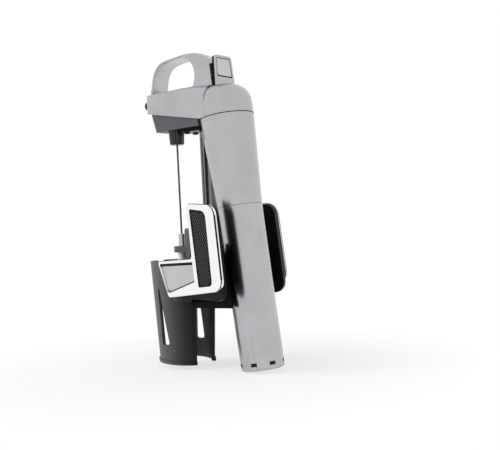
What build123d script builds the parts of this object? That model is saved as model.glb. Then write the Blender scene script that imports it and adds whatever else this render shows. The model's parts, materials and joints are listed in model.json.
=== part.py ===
"""Wine preservation dispenser: a sprung clamp holds the bottle neck, and a head with a hollow
needle slides down on it. Squeezing the trigger against the handle lets gas in and wine out.

Millimetres. Z is the needle's axis, with Z = 0 where the bottle's lip stops. The spout points
to -Y, the gas capsule stands on the +Y side, and the product is the same on both sides of X = 0.
"""
from build123d import *
import os
from math import sin, cos, tan, asin, atan2, hypot, radians, degrees

os.makedirs("parts", exist_ok=True)

# ---------------------------------------------------------------- clearances
RUN = 0.06            # radial play of a shaft that turns or slides in its hole
SLIDE_PLAY = 0.15     # play between flat faces that slide on each other
SEAT = 0.1            # play between pieces that are screwed or pushed together
BODY_GAP = 0.7        # air between the saddle and the gas housing at the bottom of the stroke

# ---------------------------------------------------------------- bottle neck and stroke
NECK_R = 14.75        # neck that the closed pads fit
NECK_GRIP = 24.0      # height of neck that the pads hold
STROKE = 66.0         # travel of the head down the rail
PULL = 3.5            # degrees that the trigger travels

# ---------------------------------------------------------------- gas housing (tilted)
TILT = 6.7            # degrees that the gas housing leans towards the spout at its top
SEAM_Y, SEAM_Z = 57.6, 41.3   # housing axis at the seam between cup and upper body
SEAM_R = 16.75
SEAM_LINE = 0.25      # open line between cup and upper body
CUP_L = 120.0
CUP_END_R = 15.8
CUP_BORE_R = 13.6
CUP_FLOOR = 3.0
CUP_EDGE = 2.2        # rounding of the cup's bottom edge
UPPER_L = 66.6
UPPER_WALL = 1.9
FLUTES = 7
FLUTE_W = 6.5
FLUTE_DEPTH = 0.8
FLUTE_L = 41.0
NOTCH_W, NOTCH_H, NOTCH_DEPTH = 4.7, 2.6, 1.3
NOTCH_UP = 3.4        # from the cup's bottom to the notch

# ---------------------------------------------------------------- gas capsule and regulator
CAPSULE_R = 11.0
CAPSULE_L = 66.0
CAPSULE_WALL = 1.2
CAPSULE_NECK_R = 1.0
CAPSULE_CAP_R = 9.0
CAPSULE_CAP_L = 24.0
CUSHION_T = 2.0
THREAD_L = 13.0
REG_SKIRT_R = 13.0
REG_FLANGE_R = 14.6
REG_FLANGE_H = 7.0
REG_BARREL_R = 12.0
REG_BARREL_H = 34.0
REG_NECK_R = 7.0
REG_NECK_H = 16.0
REG_BORE_R = 5.0
PISTON_H = 9.0
PIN_R = 1.5

# ---------------------------------------------------------------- head
HEAD_R = 20.2         # rear dome
HEAD_Z = SEAM_Z + UPPER_L * cos(radians(TILT))    # housing axis at the seam under the head
HEAD_Y = SEAM_Y - UPPER_L * sin(radians(TILT))
HEAD_TOP = HEAD_Z + 24.1
DOME_ROUND = 14.0
MEET_BACK = 2.8       # the beam ends this far in front of the dome's middle
HEAD_WALL = 2.2
HEAD_LINE = 0.3       # open line between head and upper body
FRONT_Y = -23.2
FRONT_HALF = 10.5
FRONT_CORNER = 6.0
NOSE_ROUND = 3.0      # upper and lower corner of the front, seen from the side
EDGE_ROUNDS = ((-0.1, 1.0), (0.6, 1.4), (0.8, 5.0), (0.92, 10.0), (1.03, 13.5))  # radius by share of the flank
SKIRT_FRONT_Y = -16.0
SKIRT_FRONT_Z = HEAD_Z + 8.9    # lower edge of the silver side at the front
SKIRT_REAR_Y = 31.0
SKIRT_REAR_Z = HEAD_Z + 0.5     # the same at the gas housing
BEVEL_FRONT = 0.6     # height of the bevel above that edge
BEVEL_REAR = 3.0
BEVEL_LEAN = 0.55     # how far the bevel leans in, per height
BEVEL_END_Y = 38.0
BEVEL_END_ROUND = 3.5

# ---------------------------------------------------------------- under cover
COVER_Z = HEAD_Z - 5.05
COVER_FRONT_Y = -15.8
COVER_INSET = 2.2
COVER_FOOT_INSET = 3.4
COVER_WALL = 2.0

# ---------------------------------------------------------------- handle
HANDLE_W = 17.4
STRAP_T = 2.0
HANDLE_ROUND = 0.7
HANDLE_REAR_ROUND = 6.2   # the rear arm is round towards the trigger
HANDLE_FOOT_Y = -17.8
HANDLE_REAR_Y = 45.2
HANDLE_TOP = HEAD_TOP + 27.3
LINING_END = 0.63     # share of the crown line where the strap ends and the deep rear arm starts
ARM_FRONT_Y = 26.8    # rearmost point of the arm's hollow face
ARM_SPREAD = 9.4      # the arm's foot reaches this much further forward
CROWN = ((0.0, 0.0), (0.037, 0.31), (0.075, 0.6), (0.16, 0.822), (0.35, 0.935), (0.62, 1.0), (0.77, 0.94),
         (0.9, 0.75), (0.954, 0.625))    # shares of the handle's length and height
CROWN_SECTIONS = 14


# ---------------------------------------------------------------- trigger and valve
TRIGGER_TOP = HEAD_TOP + 21.9
TRIGGER_TOP_HALF = 9.7
TRIGGER_FOOT_HALF = 11.7
TRIGGER_T = 1.0         # metal face
CORE_T = 2.0            # moulded core in front of it
CORE_INSET = 0.3
TRIGGER_FOOT_Y = HEAD_Y + 0.6   # rear face where it leaves the head
TRIGGER_TOP_Y = HEAD_Y - 0.9
TRIGGER_CORNER = 2.2
PIVOT_Z = HEAD_Z + 13.6
PIVOT_R = 1.5
BARREL_R = 3.4
BARREL_HALF = 11.0
EAR_T = 2.2
EAR_GAP = 0.3
EAR_HALF = 4.5
TRIGGER_GAP = 0.5       # air round the trigger where it leaves the head
FINGER_R = 1.6          # rounded tip that presses the valve
FINGER_HALF = 2.5
VALVE_ARM = 9.8         # from the pivot forward to the valve
VALVE_PLUNGER_R = 2.0
VALVE_BODY_R = 6.0
VALVE_FOOT_Z = PIVOT_Z - 15.0
VALVE_SEAT_Z = PIVOT_Z - 7.0
VALVE_TOP_Z = PIVOT_Z - 1.4
PLUNGER_TOP_Z = PIVOT_Z + 1.2
VALVE_SPRING_L = 2.4
INLAY_T = 0.4
INLAY_MARGIN = 1.9
INLAY_FOOT = 5.7        # the panel starts this far above the head
INLAY_LINE = 0.25

# ---------------------------------------------------------------- spout and fluid block
SPOUT_Z = HEAD_Z + 17.4
SPOUT_R = 2.4
SPOUT_BORE = 1.5
SPOUT_TIP_Y = -30.8
SPOUT_SEAT_Y = -8.0
COLLAR_FOOT_R = 4.5   # dark cone round the spout
COLLAR_TIP_R = 3.2
COLLAR_TIP_Y = -29.3
BLOCK_HALF = 6.0
BLOCK_FRONT_Y = -13.5
BLOCK_TOE_Y = -7.0      # the block's foot starts here, behind the cover's slope
BLOCK_REAR_Y = 28.5
BLOCK_TOP_Z = SPOUT_Z + 3.6
BLOCK_FOOT_Z = COVER_Z + COVER_WALL + 1.0
TONGUE_HALF = 3.5
TONGUE_T = 3.0
CHANNEL_R = 1.0

# ---------------------------------------------------------------- needle
NEEDLE_R = 0.735
NEEDLE_TIP_Z = 17.5
NEEDLE_BEVEL = 4.0
HUB_L = 11.3
HUB_Z = COVER_Z - 10.9
HUB_FOOT_R = 5.4
HUB_TOP_R = 6.2
HUB_STUB_R = 4.0
HUB_STUB_L = 7.0
HUB_GRIPS = 10
SEAL_R = 3.5
SEAL_H = 5.0

# ---------------------------------------------------------------- rail
RAIL_TOP = COVER_Z - SEAT
RAIL_FOOT = -27.0
RAIL_Y = 26.5
RAIL_HALF = 4.5
RAIL_FLANGE = 3.6
RAIL_WEB_HALF = 1.75
RAIL_WEB = 2.5
RAIL_REAR_HALF = 4.0
RAIL_REAR = 2.4
RAIL_PLATE_T = 2.6
RAIL_PLATE_HALF = 8.0
RAIL_PLATE_Y = 9.0
RAIL_SCREW_X = 5.0
RAIL_SCREW_Y = 15.0
RAIL_SCREW_R = 1.25

# ---------------------------------------------------------------- clamp carriage
CAR_FRONT_Y = 23.0
CAR_HALF = 8.3
CAR_TOP = RAIL_TOP - RAIL_PLATE_T - STROKE - 0.3
CAR_FOOT = -32.0
CHEEK_HALF = 19.5
CHEEK_FRONT_Y = 37.6
CHEEK_TOP = 14.0
CHEEK_PAST = 2.0      # the cheeks reach this far past the housing's axis
EAR_H = 4.7
CHEEK_SCREW_Z = 2.0
CHEEK_SCREW_IN = 2.6
HINGE_X, HINGE_Y = 12.5, 30.0
HINGE_PIN_R = 1.6
KNUCKLE_R = 3.9
KNUCKLE_TOP = -2.8
FOOT_PLATE_HALF = 21.5
BRAKE_T = 1.2

# ---------------------------------------------------------------- needle guide
LIP_PLATE_Z = 0.4
LIP_PLATE_T = 2.6
LIP_PLATE_R = 12.5
GUIDE_ARM_HALF = 6.5
BUSH_R = 4.1
FLANGE_R = 6.5
FLANGE_Z = 8.8
FLANGE_T = 4.7
TUBE_R = 2.6
TUBE_TOP = 22.8
BRACKET_Y = 7.2
BRACKET_T = 4.6
BRACKET_HALF = 5.0
BRACKET_TOP = 27.0

# ---------------------------------------------------------------- jaws
SLEEVE_TOP = 3.0
SLEEVE_R = 25.0
SLEEVE_TAPER = 3.0    # degrees
SLEEVE_WALL = 2.4
SLEEVE_FOOT = -75.0
SLEEVE_SLANT = 4.0    # degrees that the lower edge rises towards the spout
SLEEVE_FRONT_DEG = -79.0
SLEEVE_REAR_DEG = 60.0
SLEEVE_LIP = 0.9
SLEEVE_LIP_H = 2.4
WINDOW_TOP = -18.0
WINDOW_FOOT = -60.5
WINDOW_LEFT_DEG = -17.0
WINDOW_RIGHT_DEG = 4.0
PAD_HALF_DEG = 50.0
PAD_SKIN = 2.8
PAD_RIBS = 6
PAD_RIB_DEG = 5.0

# ---------------------------------------------------------------- wings
WING_X, WING_Y = 25.6, -5.0   # front end of the wing's outer face, in plan
WING_TURN = 12.1              # degrees that the wings open towards the back
FRAME_T = 3.0
BACK_T = 3.4
WING_ROUND = 1.8
# outlines on the wing's plane: to the rear, up, corner radius
FRAME_CORNERS = ((1.0, 3.2, 2.0), (43.2, 5.0, 2.2), (40.2, 44.8, 3.0), (70.4, 42.6, 9.0), (76.4, -18.2, 8.0),
                 (13.4, -24.4, 3.6))
BACK_CORNERS = ((1.8, 2.8, 2.0), (42.6, 4.4, 2.2), (40.8, 43.9, 3.0), (69.4, 41.8, 8.5), (75.6, -25.6, 8.0),
                (14.2, -24.0, 3.6))
PAD_CORNERS = ((44.2, 40.4, 1.2), (62.0, 38.2, 6.0), (66.2, -14.2, 3.0), (51.0, -15.6, 1.4))
PAD_SINK = 0.5
PLATE_SINK = 1.3


# ================================================================ shared geometry
HOUSING = Plane(origin=(0, SEAM_Y, SEAM_Z), x_dir=(1, 0, 0), z_dir=(0, -sin(radians(TILT)), cos(radians(TILT))))
WING = Plane(origin=(WING_X, WING_Y, 0), x_dir=(sin(radians(WING_TURN)), cos(radians(WING_TURN)), 0),
             z_dir=(cos(radians(WING_TURN)), -sin(radians(WING_TURN)), 0))
TRIGGER_LEAN = (TRIGGER_FOOT_Y - TRIGGER_TOP_Y) / (TRIGGER_TOP - HEAD_TOP)
PIVOT_Y = TRIGGER_FOOT_Y - TRIGGER_T - CORE_T / 2 + (HEAD_TOP - PIVOT_Z) * TRIGGER_LEAN
VALVE_Y = PIVOT_Y - VALVE_ARM
BIG = 400.0


def axis_y(z):
    """Y of the gas housing's axis at height z."""
    return SEAM_Y - (z - SEAM_Z) * tan(radians(TILT))


def sleeve_r(z):
    """Outer radius of the jaw sleeves at height z."""
    return SLEEVE_R - (SLEEVE_TOP - z) * tan(radians(SLEEVE_TAPER))


def turned(*outline, arc=360.0, start=0.0):
    """Solid turned about Z from (radius, height) corners."""
    face = make_face(Plane.XZ * Polyline(*outline, close=True))
    return Rot(0, 0, start) * revolve(face, Axis.Z, arc)


def pipe(radius, z_low, z_high, bore=0.0):
    """Round bar or tube on the Z axis."""
    middle, length = (z_low + z_high) / 2, z_high - z_low
    bar = Pos(0, 0, middle) * Cylinder(radius, length)
    if bore:
        bar -= Pos(0, 0, middle) * Cylinder(bore, length + 2)
    return bar


def block(x, y, z):
    """Box from three (low, high) pairs."""
    size = [high - low for low, high in (x, y, z)]
    middle = [(high + low) / 2 for low, high in (x, y, z)]
    return Pos(*middle) * Box(*size)


def side_prism(outline, half):
    """Prism across X from a side view drawn as (y, z) corners."""
    face = make_face(Plane.YZ * Polyline(*outline, close=True))
    return extrude(face, half, dir=(1, 0, 0), both=True)


def mirrored(part):
    """The piece for the other side of X = 0."""
    return mirror(part, Plane.YZ)


def single(part):
    """The largest solid of a result."""
    return Part() + max(part.solids(), key=lambda solid: solid.volume)


def save(name, part):
    part.label = name
    export_step(part, f"parts/{name}.step")


# ================================================================ gas housing
def housing_outer_r(t):
    """Outer radius of the housing at t along its axis from the seam."""
    if t >= 0:
        return SEAM_R + (HEAD_R - SEAM_R) * t / UPPER_L
    return SEAM_R + (CUP_END_R - SEAM_R) * (-t) / CUP_L


def upper_body():
    wall = UPPER_WALL
    spigot_r = HEAD_R - HEAD_WALL - SEAT
    spigot_h = 4.0
    shell = turned((SEAM_R, 0), (HEAD_R, UPPER_L), (spigot_r, UPPER_L), (spigot_r, UPPER_L + spigot_h),
                   (spigot_r - wall, UPPER_L + spigot_h), (spigot_r - wall, UPPER_L - 3),
                   (REG_FLANGE_R + SEAT, REG_FLANGE_H + 1), (REG_FLANGE_R + SEAT, 0))
    shoulder = turned((REG_BARREL_R + SEAT, REG_FLANGE_H + SEAT), (SEAM_R, REG_FLANGE_H + SEAT),
                      (SEAM_R, REG_FLANGE_H + 3), (REG_BARREL_R + SEAT, REG_FLANGE_H + 3))
    shell += shoulder
    return HOUSING.location * shell - rail_section(SEAT, RAIL_FOOT, RAIL_TOP + 20)


def cup_outer():
    body = turned((0, -CUP_L), (CUP_END_R, -CUP_L), (SEAM_R, -SEAM_LINE), (0, -SEAM_LINE))
    return fillet(body.edges().sort_by(Axis.Z)[0], CUP_EDGE)


def flute_cutters():
    """Scoops that fade in along the cup and end in a small notch each."""
    drop = FLUTE_DEPTH + (SEAM_R - CUP_END_R) * FLUTE_L / CUP_L
    radius = FLUTE_W ** 2 / 8 / FLUTE_DEPTH + FLUTE_DEPTH / 2
    lean = drop / FLUTE_L
    start_r = housing_outer_r(-CUP_L + FLUTE_L)
    tools = []
    for k in range(FLUTES):
        turn = 90 + (k + 0.5) * 360 / FLUTES
        scoop = Pos(start_r + radius, 0, -CUP_L + FLUTE_L) * Rot(0, degrees(lean), 0) * Cylinder(
            radius, 4 * FLUTE_L)
        notch_r = CUP_END_R - NOTCH_DEPTH
        notch = block((notch_r, CUP_END_R + 5), (-NOTCH_W / 2, NOTCH_W / 2),
                      (-CUP_L + NOTCH_UP, -CUP_L + NOTCH_UP + NOTCH_H))
        tools += [Rot(0, 0, turn) * scoop, Rot(0, 0, turn) * notch]
    return tools


def capsule_cup():
    cup = cup_outer()
    thread_r = REG_FLANGE_R + SEAT
    cup -= turned((0, -CUP_L + CUP_FLOOR), (CUP_BORE_R, -CUP_L + CUP_FLOOR), (CUP_BORE_R, -THREAD_L - 2),
                  (thread_r, -THREAD_L - 1), (thread_r, 0), (0, 0))
    for tool in flute_cutters():
        cup -= tool
    return HOUSING.location * single(cup)


def capsule_bottom():
    return -CUP_L + CUP_FLOOR + SEAT + CUSHION_T + SEAT


def cup_cushion():
    low = -CUP_L + CUP_FLOOR + SEAT
    return HOUSING.location * pipe(CUP_BORE_R - 0.3, low, low + CUSHION_T, 4.0)


def gas_capsule():
    low = capsule_bottom()
    body = turned((0, low), (CAPSULE_R, low), (CAPSULE_R, low + CAPSULE_L), (0, low + CAPSULE_L))
    body = fillet(body.edges().filter_by(GeomType.CIRCLE), 4.5)
    cap = pipe(CAPSULE_CAP_R, low + CAPSULE_L - 0.5, low + CAPSULE_L + CAPSULE_CAP_L)
    room_r = CAPSULE_R - CAPSULE_WALL
    room_top = low + CAPSULE_L - CAPSULE_WALL
    room = turned((0, low + CAPSULE_WALL), (room_r - 3, low + CAPSULE_WALL), (room_r, low + CAPSULE_WALL + 3),
                  (room_r, room_top - 3), (room_r - 3, room_top), (CAPSULE_NECK_R, room_top),
                  (CAPSULE_NECK_R, capsule_top() + 1), (0, capsule_top() + 1))
    return HOUSING.location * (body + cap - room)


def regulator_foot():
    """The regulator's skirt stops just above the capsule's shoulder."""
    return capsule_bottom() + CAPSULE_L + 1.5


def capsule_top():
    return capsule_bottom() + CAPSULE_L + CAPSULE_CAP_L


def regulator_body():
    foot = regulator_foot()
    top = REG_FLANGE_H + REG_BARREL_H
    outline = ((CAPSULE_CAP_R + 0.3, foot), (REG_SKIRT_R, foot), (REG_SKIRT_R, -THREAD_L - 3),
               (REG_FLANGE_R - 0.15, -THREAD_L), (REG_FLANGE_R - 0.15, -1.0), (REG_FLANGE_R, 0.2),
               (REG_FLANGE_R, REG_FLANGE_H), (REG_BARREL_R, REG_FLANGE_H), (REG_BARREL_R, top),
               (REG_NECK_R, top), (REG_NECK_R, top + REG_NECK_H), (CHANNEL_R, top + REG_NECK_H),
               (CHANNEL_R, top - 3), (REG_BORE_R, top - 3), (REG_BORE_R, capsule_top() + 3.5),
               (CAPSULE_CAP_R + 0.3, capsule_top() + 3.5))
    return HOUSING.location * turned(*outline)


def piercing_pin():
    low = capsule_top() + 0.3
    seat = capsule_top() + 3.5
    pin = turned((0.4, low), (PIN_R, low + 2), (PIN_R, seat), (REG_BORE_R - SEAT, seat),
                 (REG_BORE_R - SEAT, seat + 3), (0.4, seat + 3))
    return HOUSING.location * pin


def capsule_seal():
    seat = capsule_top() + 0.3
    return HOUSING.location * pipe(CAPSULE_CAP_R - 0.5, seat, seat + 2.9, PIN_R + 0.4)


def piston_z():
    return REG_FLANGE_H + REG_BARREL_H - 3 - PISTON_H - 1


def regulator_piston():
    low = piston_z()
    piston = turned((0.6, low), (2.2, low), (2.2, low + 4), (REG_BORE_R - RUN, low + 4),
                    (REG_BORE_R - RUN, low + PISTON_H), (0.6, low + PISTON_H))
    return HOUSING.location * piston


def regulator_spring():
    """Spring hidden in the regulator's bore, as the sleeve that it fills."""
    low = capsule_top() + 6.5 + SEAT
    return HOUSING.location * pipe(REG_BORE_R - 0.4, low, piston_z() + 4 - SEAT, REG_BORE_R - 1.6)


def body_seal():
    """Ring round the spigot, under the head's seam."""
    low = UPPER_L + 4.1
    return HOUSING.location * pipe(HEAD_R - HEAD_WALL - SEAT, low, low + 1.6, HEAD_R - HEAD_WALL - 2.0)


# ================================================================ head
def plan_hull(z, inset, front_y):
    """Plan of the head: rear circle and two front corners, drawn in by inset."""
    rear = Pos(0, axis_y(z)) * Circle(HEAD_R - inset)
    corner = max(FRONT_CORNER - inset, 0.4)
    reach = FRONT_HALF - inset - corner
    fronts = [Pos(side * reach, front_y + inset + corner) * Circle(corner) for side in (-1, 1)]
    edges = rear.edges() + fronts[0].edges() + fronts[1].edges()
    return Pos(0, 0, z) * make_hull(edges)


def head_form(inset):
    """Outer form of the head, or the same form drawn in by a wall."""
    low, high = COVER_Z - 12, HEAD_TOP - inset
    beam = loft([plan_hull(low, inset, FRONT_Y), plan_hull(high, inset, FRONT_Y)], ruled=True)
    beam &= block((-BIG, BIG), (-BIG, axis_y(HEAD_TOP) - MEET_BACK), (-BIG, BIG))
    for side in (-1, 1):
        beam -= flank_round(side, inset)
    dome = HOUSING.location * pipe(HEAD_R - inset, UPPER_L - 14, UPPER_L + 60)
    dome &= block((-BIG, BIG), (-BIG, BIG), (-BIG, high))
    dome = fillet(dome.edges().sort_by(Axis.Z)[-1], DOME_ROUND - inset)
    return beam + dome


def flank(side, inset):
    """Front and rear ends of the beam's flat side, at the height of its top."""
    front_y, rear_y = FRONT_Y + FRONT_CORNER, axis_y(HEAD_TOP)
    front_x, front_r, rear_r = FRONT_HALF - FRONT_CORNER, FRONT_CORNER - inset, HEAD_R - inset
    turn = asin((rear_r - front_r) / hypot(front_x, rear_y - front_y)) - atan2(front_x, rear_y - front_y)
    front = Vector(side * (front_x + front_r * cos(turn)), front_y - front_r * sin(turn), HEAD_TOP - inset)
    rear = Vector(side * rear_r * cos(turn), rear_y - rear_r * sin(turn), HEAD_TOP - inset)
    return front, rear


def outside_corner(corner, inward, up, radius):
    """What a corner loses when it is rounded, as a face square to its edge."""
    over = 3.0
    top, low = corner + inward * radius, corner - up * radius
    middle = corner + (inward - up) * (radius * (1 - sin(radians(45))))
    lines = Polyline(top, top + up * over, corner + (up - inward) * over, low - inward * over, low)
    return make_face(lines + ThreePointArc(low, middle, top))


def flank_round(side, inset):
    """Cutter that rounds the beam's long top edge, quickly more where it meets the dome."""
    front, rear = flank(side, inset)
    inward = Vector(0, 0, 1).cross((rear - front).normalized()) * side
    up = Vector(0, 0, 1)
    return loft([outside_corner(front + (rear - front) * share, inward, up, radius) for share, radius in
                 EDGE_ROUNDS], ruled=True)


def skirt_z(y, rise=0.0):
    """Height of the silver side's lower edge at y, or of the bevel's upper line for rise = 1."""
    share = (y - SKIRT_FRONT_Y) / (SKIRT_REAR_Y - SKIRT_FRONT_Y)
    edge = SKIRT_FRONT_Z + share * (SKIRT_REAR_Z - SKIRT_FRONT_Z)
    return edge + rise * (BEVEL_FRONT + share * (BEVEL_REAR - BEVEL_FRONT))


def metal_side():
    """Side view of the metal shell: rounded nose and a lower edge that falls towards the housing."""
    rear, low = HEAD_Y + 2 * HEAD_R, COVER_Z - 20
    face = make_face(Plane.YZ * Polyline((FRONT_Y, skirt_z(FRONT_Y)), (FRONT_Y, HEAD_TOP), (rear, HEAD_TOP),
                                         (rear, low), (HEAD_Y, low), (HEAD_Y, skirt_z(HEAD_Y)), close=True))
    face = fillet(face.vertices().sort_by(Axis.Y)[:2], NOSE_ROUND)
    return extrude(face, BIG / 2, dir=(1, 0, 0), both=True)


def skirt_bevel(side):
    """Cutter for the bevel that grows along the flank's lower edge and ends round at the housing."""
    front, rear = flank(side, 0.0)
    along = (rear - front).normalized()
    out = along.cross(Vector(0, 0, 1)) * side
    below, beside = 4.0, 5.0
    sections = []
    for share in (-0.3, 1.0):
        point = front + (rear - front) * share
        top_z, low_z = skirt_z(point.Y, 1.0), skirt_z(point.Y) - below
        top = Vector(point.X, point.Y, top_z)
        low = Vector(point.X, point.Y, low_z)
        sections.append(make_face(Polyline(top, top + out * beside, low + out * beside,
                                           low - out * (top_z - low_z) * BEVEL_LEAN, close=True)))
    reach = make_face(Plane.YZ * Polyline((-60, skirt_z(-60, 1.0)), (BEVEL_END_Y, skirt_z(BEVEL_END_Y, 1.0)),
                                          (BEVEL_END_Y, COVER_Z - 20), (-60, COVER_Z - 20), close=True))
    reach = fillet(reach.vertices().sort_by(Axis.Y)[-2:].sort_by(Axis.Z)[-1], BEVEL_END_ROUND)
    return loft(sections, ruled=True) & extrude(reach, 60, dir=(1, 0, 0), both=True)


def housing_core(extra=0.0):
    """The gas housing's own upper outline, grown by extra."""
    over = UPPER_L + 8
    return HOUSING.location * turned((0, -5), (SEAM_R + extra, -5), (HEAD_R + extra, UPPER_L),
                                     (HEAD_R + extra, over), (0, over))


def handle():
    """Strap handle: thin front and top, deep rounded rear arm."""
    foot = HEAD_TOP - 5
    y0, y1 = HANDLE_FOOT_Y, HANDLE_REAR_Y
    length, height = y1 - y0, HANDLE_TOP - HEAD_TOP
    points = [(y0 + along * length, HEAD_TOP + up * height) for along, up in CROWN]
    crown = Spline(*points)
    outer = crown + Polyline(points[-1], (y1, foot), (y0 - 0.4, foot), points[0])
    lining = []
    for k in range(7):
        share = LINING_END * k / 6
        along = crown % share
        lining.append(crown @ share + Vector(along.Y, -along.X) * STRAP_T)
    arm_foot = (ARM_FRONT_Y - ARM_SPREAD, foot)
    arm_face = ThreePointArc(lining[-1], (ARM_FRONT_Y, HEAD_TOP + 0.55 * height), arm_foot)
    opening = Spline(*lining) + arm_face + Polyline(arm_foot, (y0 + STRAP_T - 0.6, foot), lining[0])
    strap = extrude(make_face(Plane.YZ * outer), HANDLE_W / 2, dir=(1, 0, 0), both=True)
    loop = extrude(make_face(Plane.YZ * opening), HANDLE_W, dir=(1, 0, 0), both=True)
    strap -= loop
    rims = [edge for edge in strap.edges() if abs(abs(edge.center().X) - HANDLE_W / 2) < 0.01 and
            edge.center().Z > foot + 1 and loop.distance_to(edge @ 0.5) < 0.01]
    strap = fillet(rims, HANDLE_ROUND)
    for side in (-1, 1):
        strap -= crown_round(side, crown, Vector(0, y1, foot))
    return strap


def crown_round(side, crown, foot):
    """Cutter that rounds the strap's outer edge, little at the front and much on the rear arm."""
    corner_x = Vector(side * HANDLE_W / 2, 0, 0)
    inward = Vector(-side, 0, 0)
    sections = []
    for k in range(CROWN_SECTIONS + 1):
        share = k / CROWN_SECTIONS
        at, along = crown @ share, crown % share
        radius = HANDLE_ROUND + (HANDLE_REAR_ROUND - HANDLE_ROUND) * max(0.0, share - 0.35) / 0.65
        sections.append(outside_corner(corner_x + Vector(0, at.X, at.Y), inward, Vector(0, -along.Y, along.X), radius))
    rear = crown @ 1.0
    cutter = loft(sections, ruled=True)
    down = (foot - Vector(0, rear.X, rear.Y)).normalized()
    ends = [outside_corner(corner_x + point, inward, Vector(0, -down.Z, down.Y), HANDLE_REAR_ROUND) for point in
            (Vector(0, rear.X, rear.Y), foot + down * 3)]
    return cutter + loft(ends, ruled=True)


def trigger_slot():
    """Opening in the head that lets the trigger's plate swing."""
    sweep = (HEAD_TOP - PIVOT_Z) * tan(radians(PULL)) + TRIGGER_GAP
    half = TRIGGER_FOOT_HALF + TRIGGER_GAP
    return block((-half, half), (TRIGGER_FOOT_Y - TRIGGER_T - CORE_T - sweep, TRIGGER_FOOT_Y + 2 * TRIGGER_GAP),
                 (PIVOT_Z, HEAD_TOP + 6))


def trigger_ears():
    ears = []
    inner = BARREL_HALF + EAR_GAP
    for side in (-1, 1):
        x = sorted((side * inner, side * (inner + EAR_T)))
        ear = block(x, (PIVOT_Y - EAR_HALF, PIVOT_Y + EAR_HALF), (PIVOT_Z - EAR_HALF, HEAD_TOP))
        ears.append(ear)
    return ears


def x_bar(radius, half, y, z):
    """Round bar across X."""
    return Pos(0, y, z) * Rot(0, 90, 0) * Cylinder(radius, 2 * half)


def head_shell():
    hollow = head_form(HEAD_WALL)
    shell = (head_form(0.0) & metal_side()) - housing_trim()
    for side in (-1, 1):
        shell -= skirt_bevel(side) - housing_core()
    shell -= hollow
    for ear in trigger_ears():
        shell += ear & head_form(HEAD_WALL / 2)
    shell += handle() - hollow
    shell -= trigger_slot()
    shell -= x_bar(PIVOT_R, BARREL_HALF + EAR_GAP + EAR_T + 1, PIVOT_Y, PIVOT_Z)
    shell -= Pos(0, FRONT_Y, SPOUT_Z) * Rot(90, 0, 0) * Cylinder(SPOUT_R + SEAT, 12)
    return single(shell)


def housing_trim():
    """What lies under the head's rear seam, square to the gas housing's axis."""
    depth = 80.0
    below = HOUSING.location * (Pos(0, 0, UPPER_L + HEAD_LINE - depth / 2) * Box(BIG, BIG, depth))
    return below & block((-BIG, BIG), (SKIRT_REAR_Y - 5, BIG), (0, BIG))


def cover_hull(inset, low, high):
    """Solid between the cover's foot and its top edge, drawn in by inset."""
    front = FRONT_Y + NOSE_ROUND - COVER_INSET + SEAT
    return loft([plan_hull(low, COVER_FOOT_INSET + inset, COVER_FRONT_Y - COVER_FOOT_INSET),
                 plan_hull(high, COVER_INSET + inset, front)], ruled=True)


def under_cover():
    top = SKIRT_FRONT_Z + 2
    form = cover_hull(0.0, COVER_Z, top) - cover_hull(COVER_WALL, COVER_Z + COVER_WALL, top + 0.01)
    front, rear = FRONT_Y - 10, HEAD_Y
    form -= side_prism(((front, skirt_z(front) - SEAT), (rear, skirt_z(rear) - SEAT), (rear, top + 20),
                        (front, top + 20)), BIG / 2)
    form -= housing_core(2 * SEAT)
    form &= block((-BIG, BIG), (-BIG, SKIRT_REAR_Y + 3), (-BIG, BIG))
    form -= pipe(HUB_TOP_R + 0.5, COVER_Z - 1, COVER_Z + COVER_WALL + 1)
    for x in (-RAIL_SCREW_X, RAIL_SCREW_X):
        form -= Pos(x, RAIL_SCREW_Y, 0) * pipe(RAIL_SCREW_R + 0.05, COVER_Z - 1, COVER_Z + COVER_WALL + 1)
    return single(form)


# ================================================================ fluid block, spout and needle
def link_z():
    """Height of the gas channel that leads from the valve to the needle."""
    return VALVE_TOP_Z - 1.8


def fluid_block():
    body = side_prism(((BLOCK_FRONT_Y, SPOUT_Z - 7), (BLOCK_FRONT_Y, BLOCK_TOP_Z), (BLOCK_REAR_Y, BLOCK_TOP_Z),
                       (BLOCK_REAR_Y, BLOCK_FOOT_Z), (BLOCK_TOE_Y, BLOCK_FOOT_Z)), BLOCK_HALF)
    tongue_end = VALVE_Y - VALVE_BODY_R - SEAT
    body += block((-TONGUE_HALF, TONGUE_HALF), (BLOCK_REAR_Y - 1, tongue_end),
                  (link_z() - TONGUE_T / 2, link_z() + TONGUE_T / 2))
    stub_top = HUB_Z + HUB_L + HUB_STUB_L
    seal_top = stub_top + SEAL_H + 0.4
    body -= pipe(HUB_STUB_R + RUN, BLOCK_FOOT_Z - 1, seal_top)
    body -= pipe(CHANNEL_R, seal_top - 0.5, SPOUT_Z)
    lie = Rot(90, 0, 0)
    seat_l = SPOUT_SEAT_Y - BLOCK_FRONT_Y + 1
    body -= Pos(0, SPOUT_SEAT_Y - seat_l / 2, SPOUT_Z) * lie * Cylinder(SPOUT_R + RUN, seat_l)
    body -= Pos(0, (SPOUT_SEAT_Y - 1) / 2, SPOUT_Z) * lie * Cylinder(CHANNEL_R * 1.2, 1 - SPOUT_SEAT_Y + 1)
    gas_l = tongue_end + 1
    body -= Pos(0, gas_l / 2, link_z()) * lie * Cylinder(CHANNEL_R * 0.8, gas_l)
    return single(body)


def spout():
    tube = Pos(0, SPOUT_SEAT_Y, SPOUT_Z) * Rot(90, 0, 0) * turned(
        (SPOUT_BORE, SEAT), (SPOUT_R, SEAT), (SPOUT_R, SPOUT_SEAT_Y - SPOUT_TIP_Y - 0.5),
        (SPOUT_R - 0.5, SPOUT_SEAT_Y - SPOUT_TIP_Y), (SPOUT_BORE, SPOUT_SEAT_Y - SPOUT_TIP_Y))
    return tube


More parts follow.
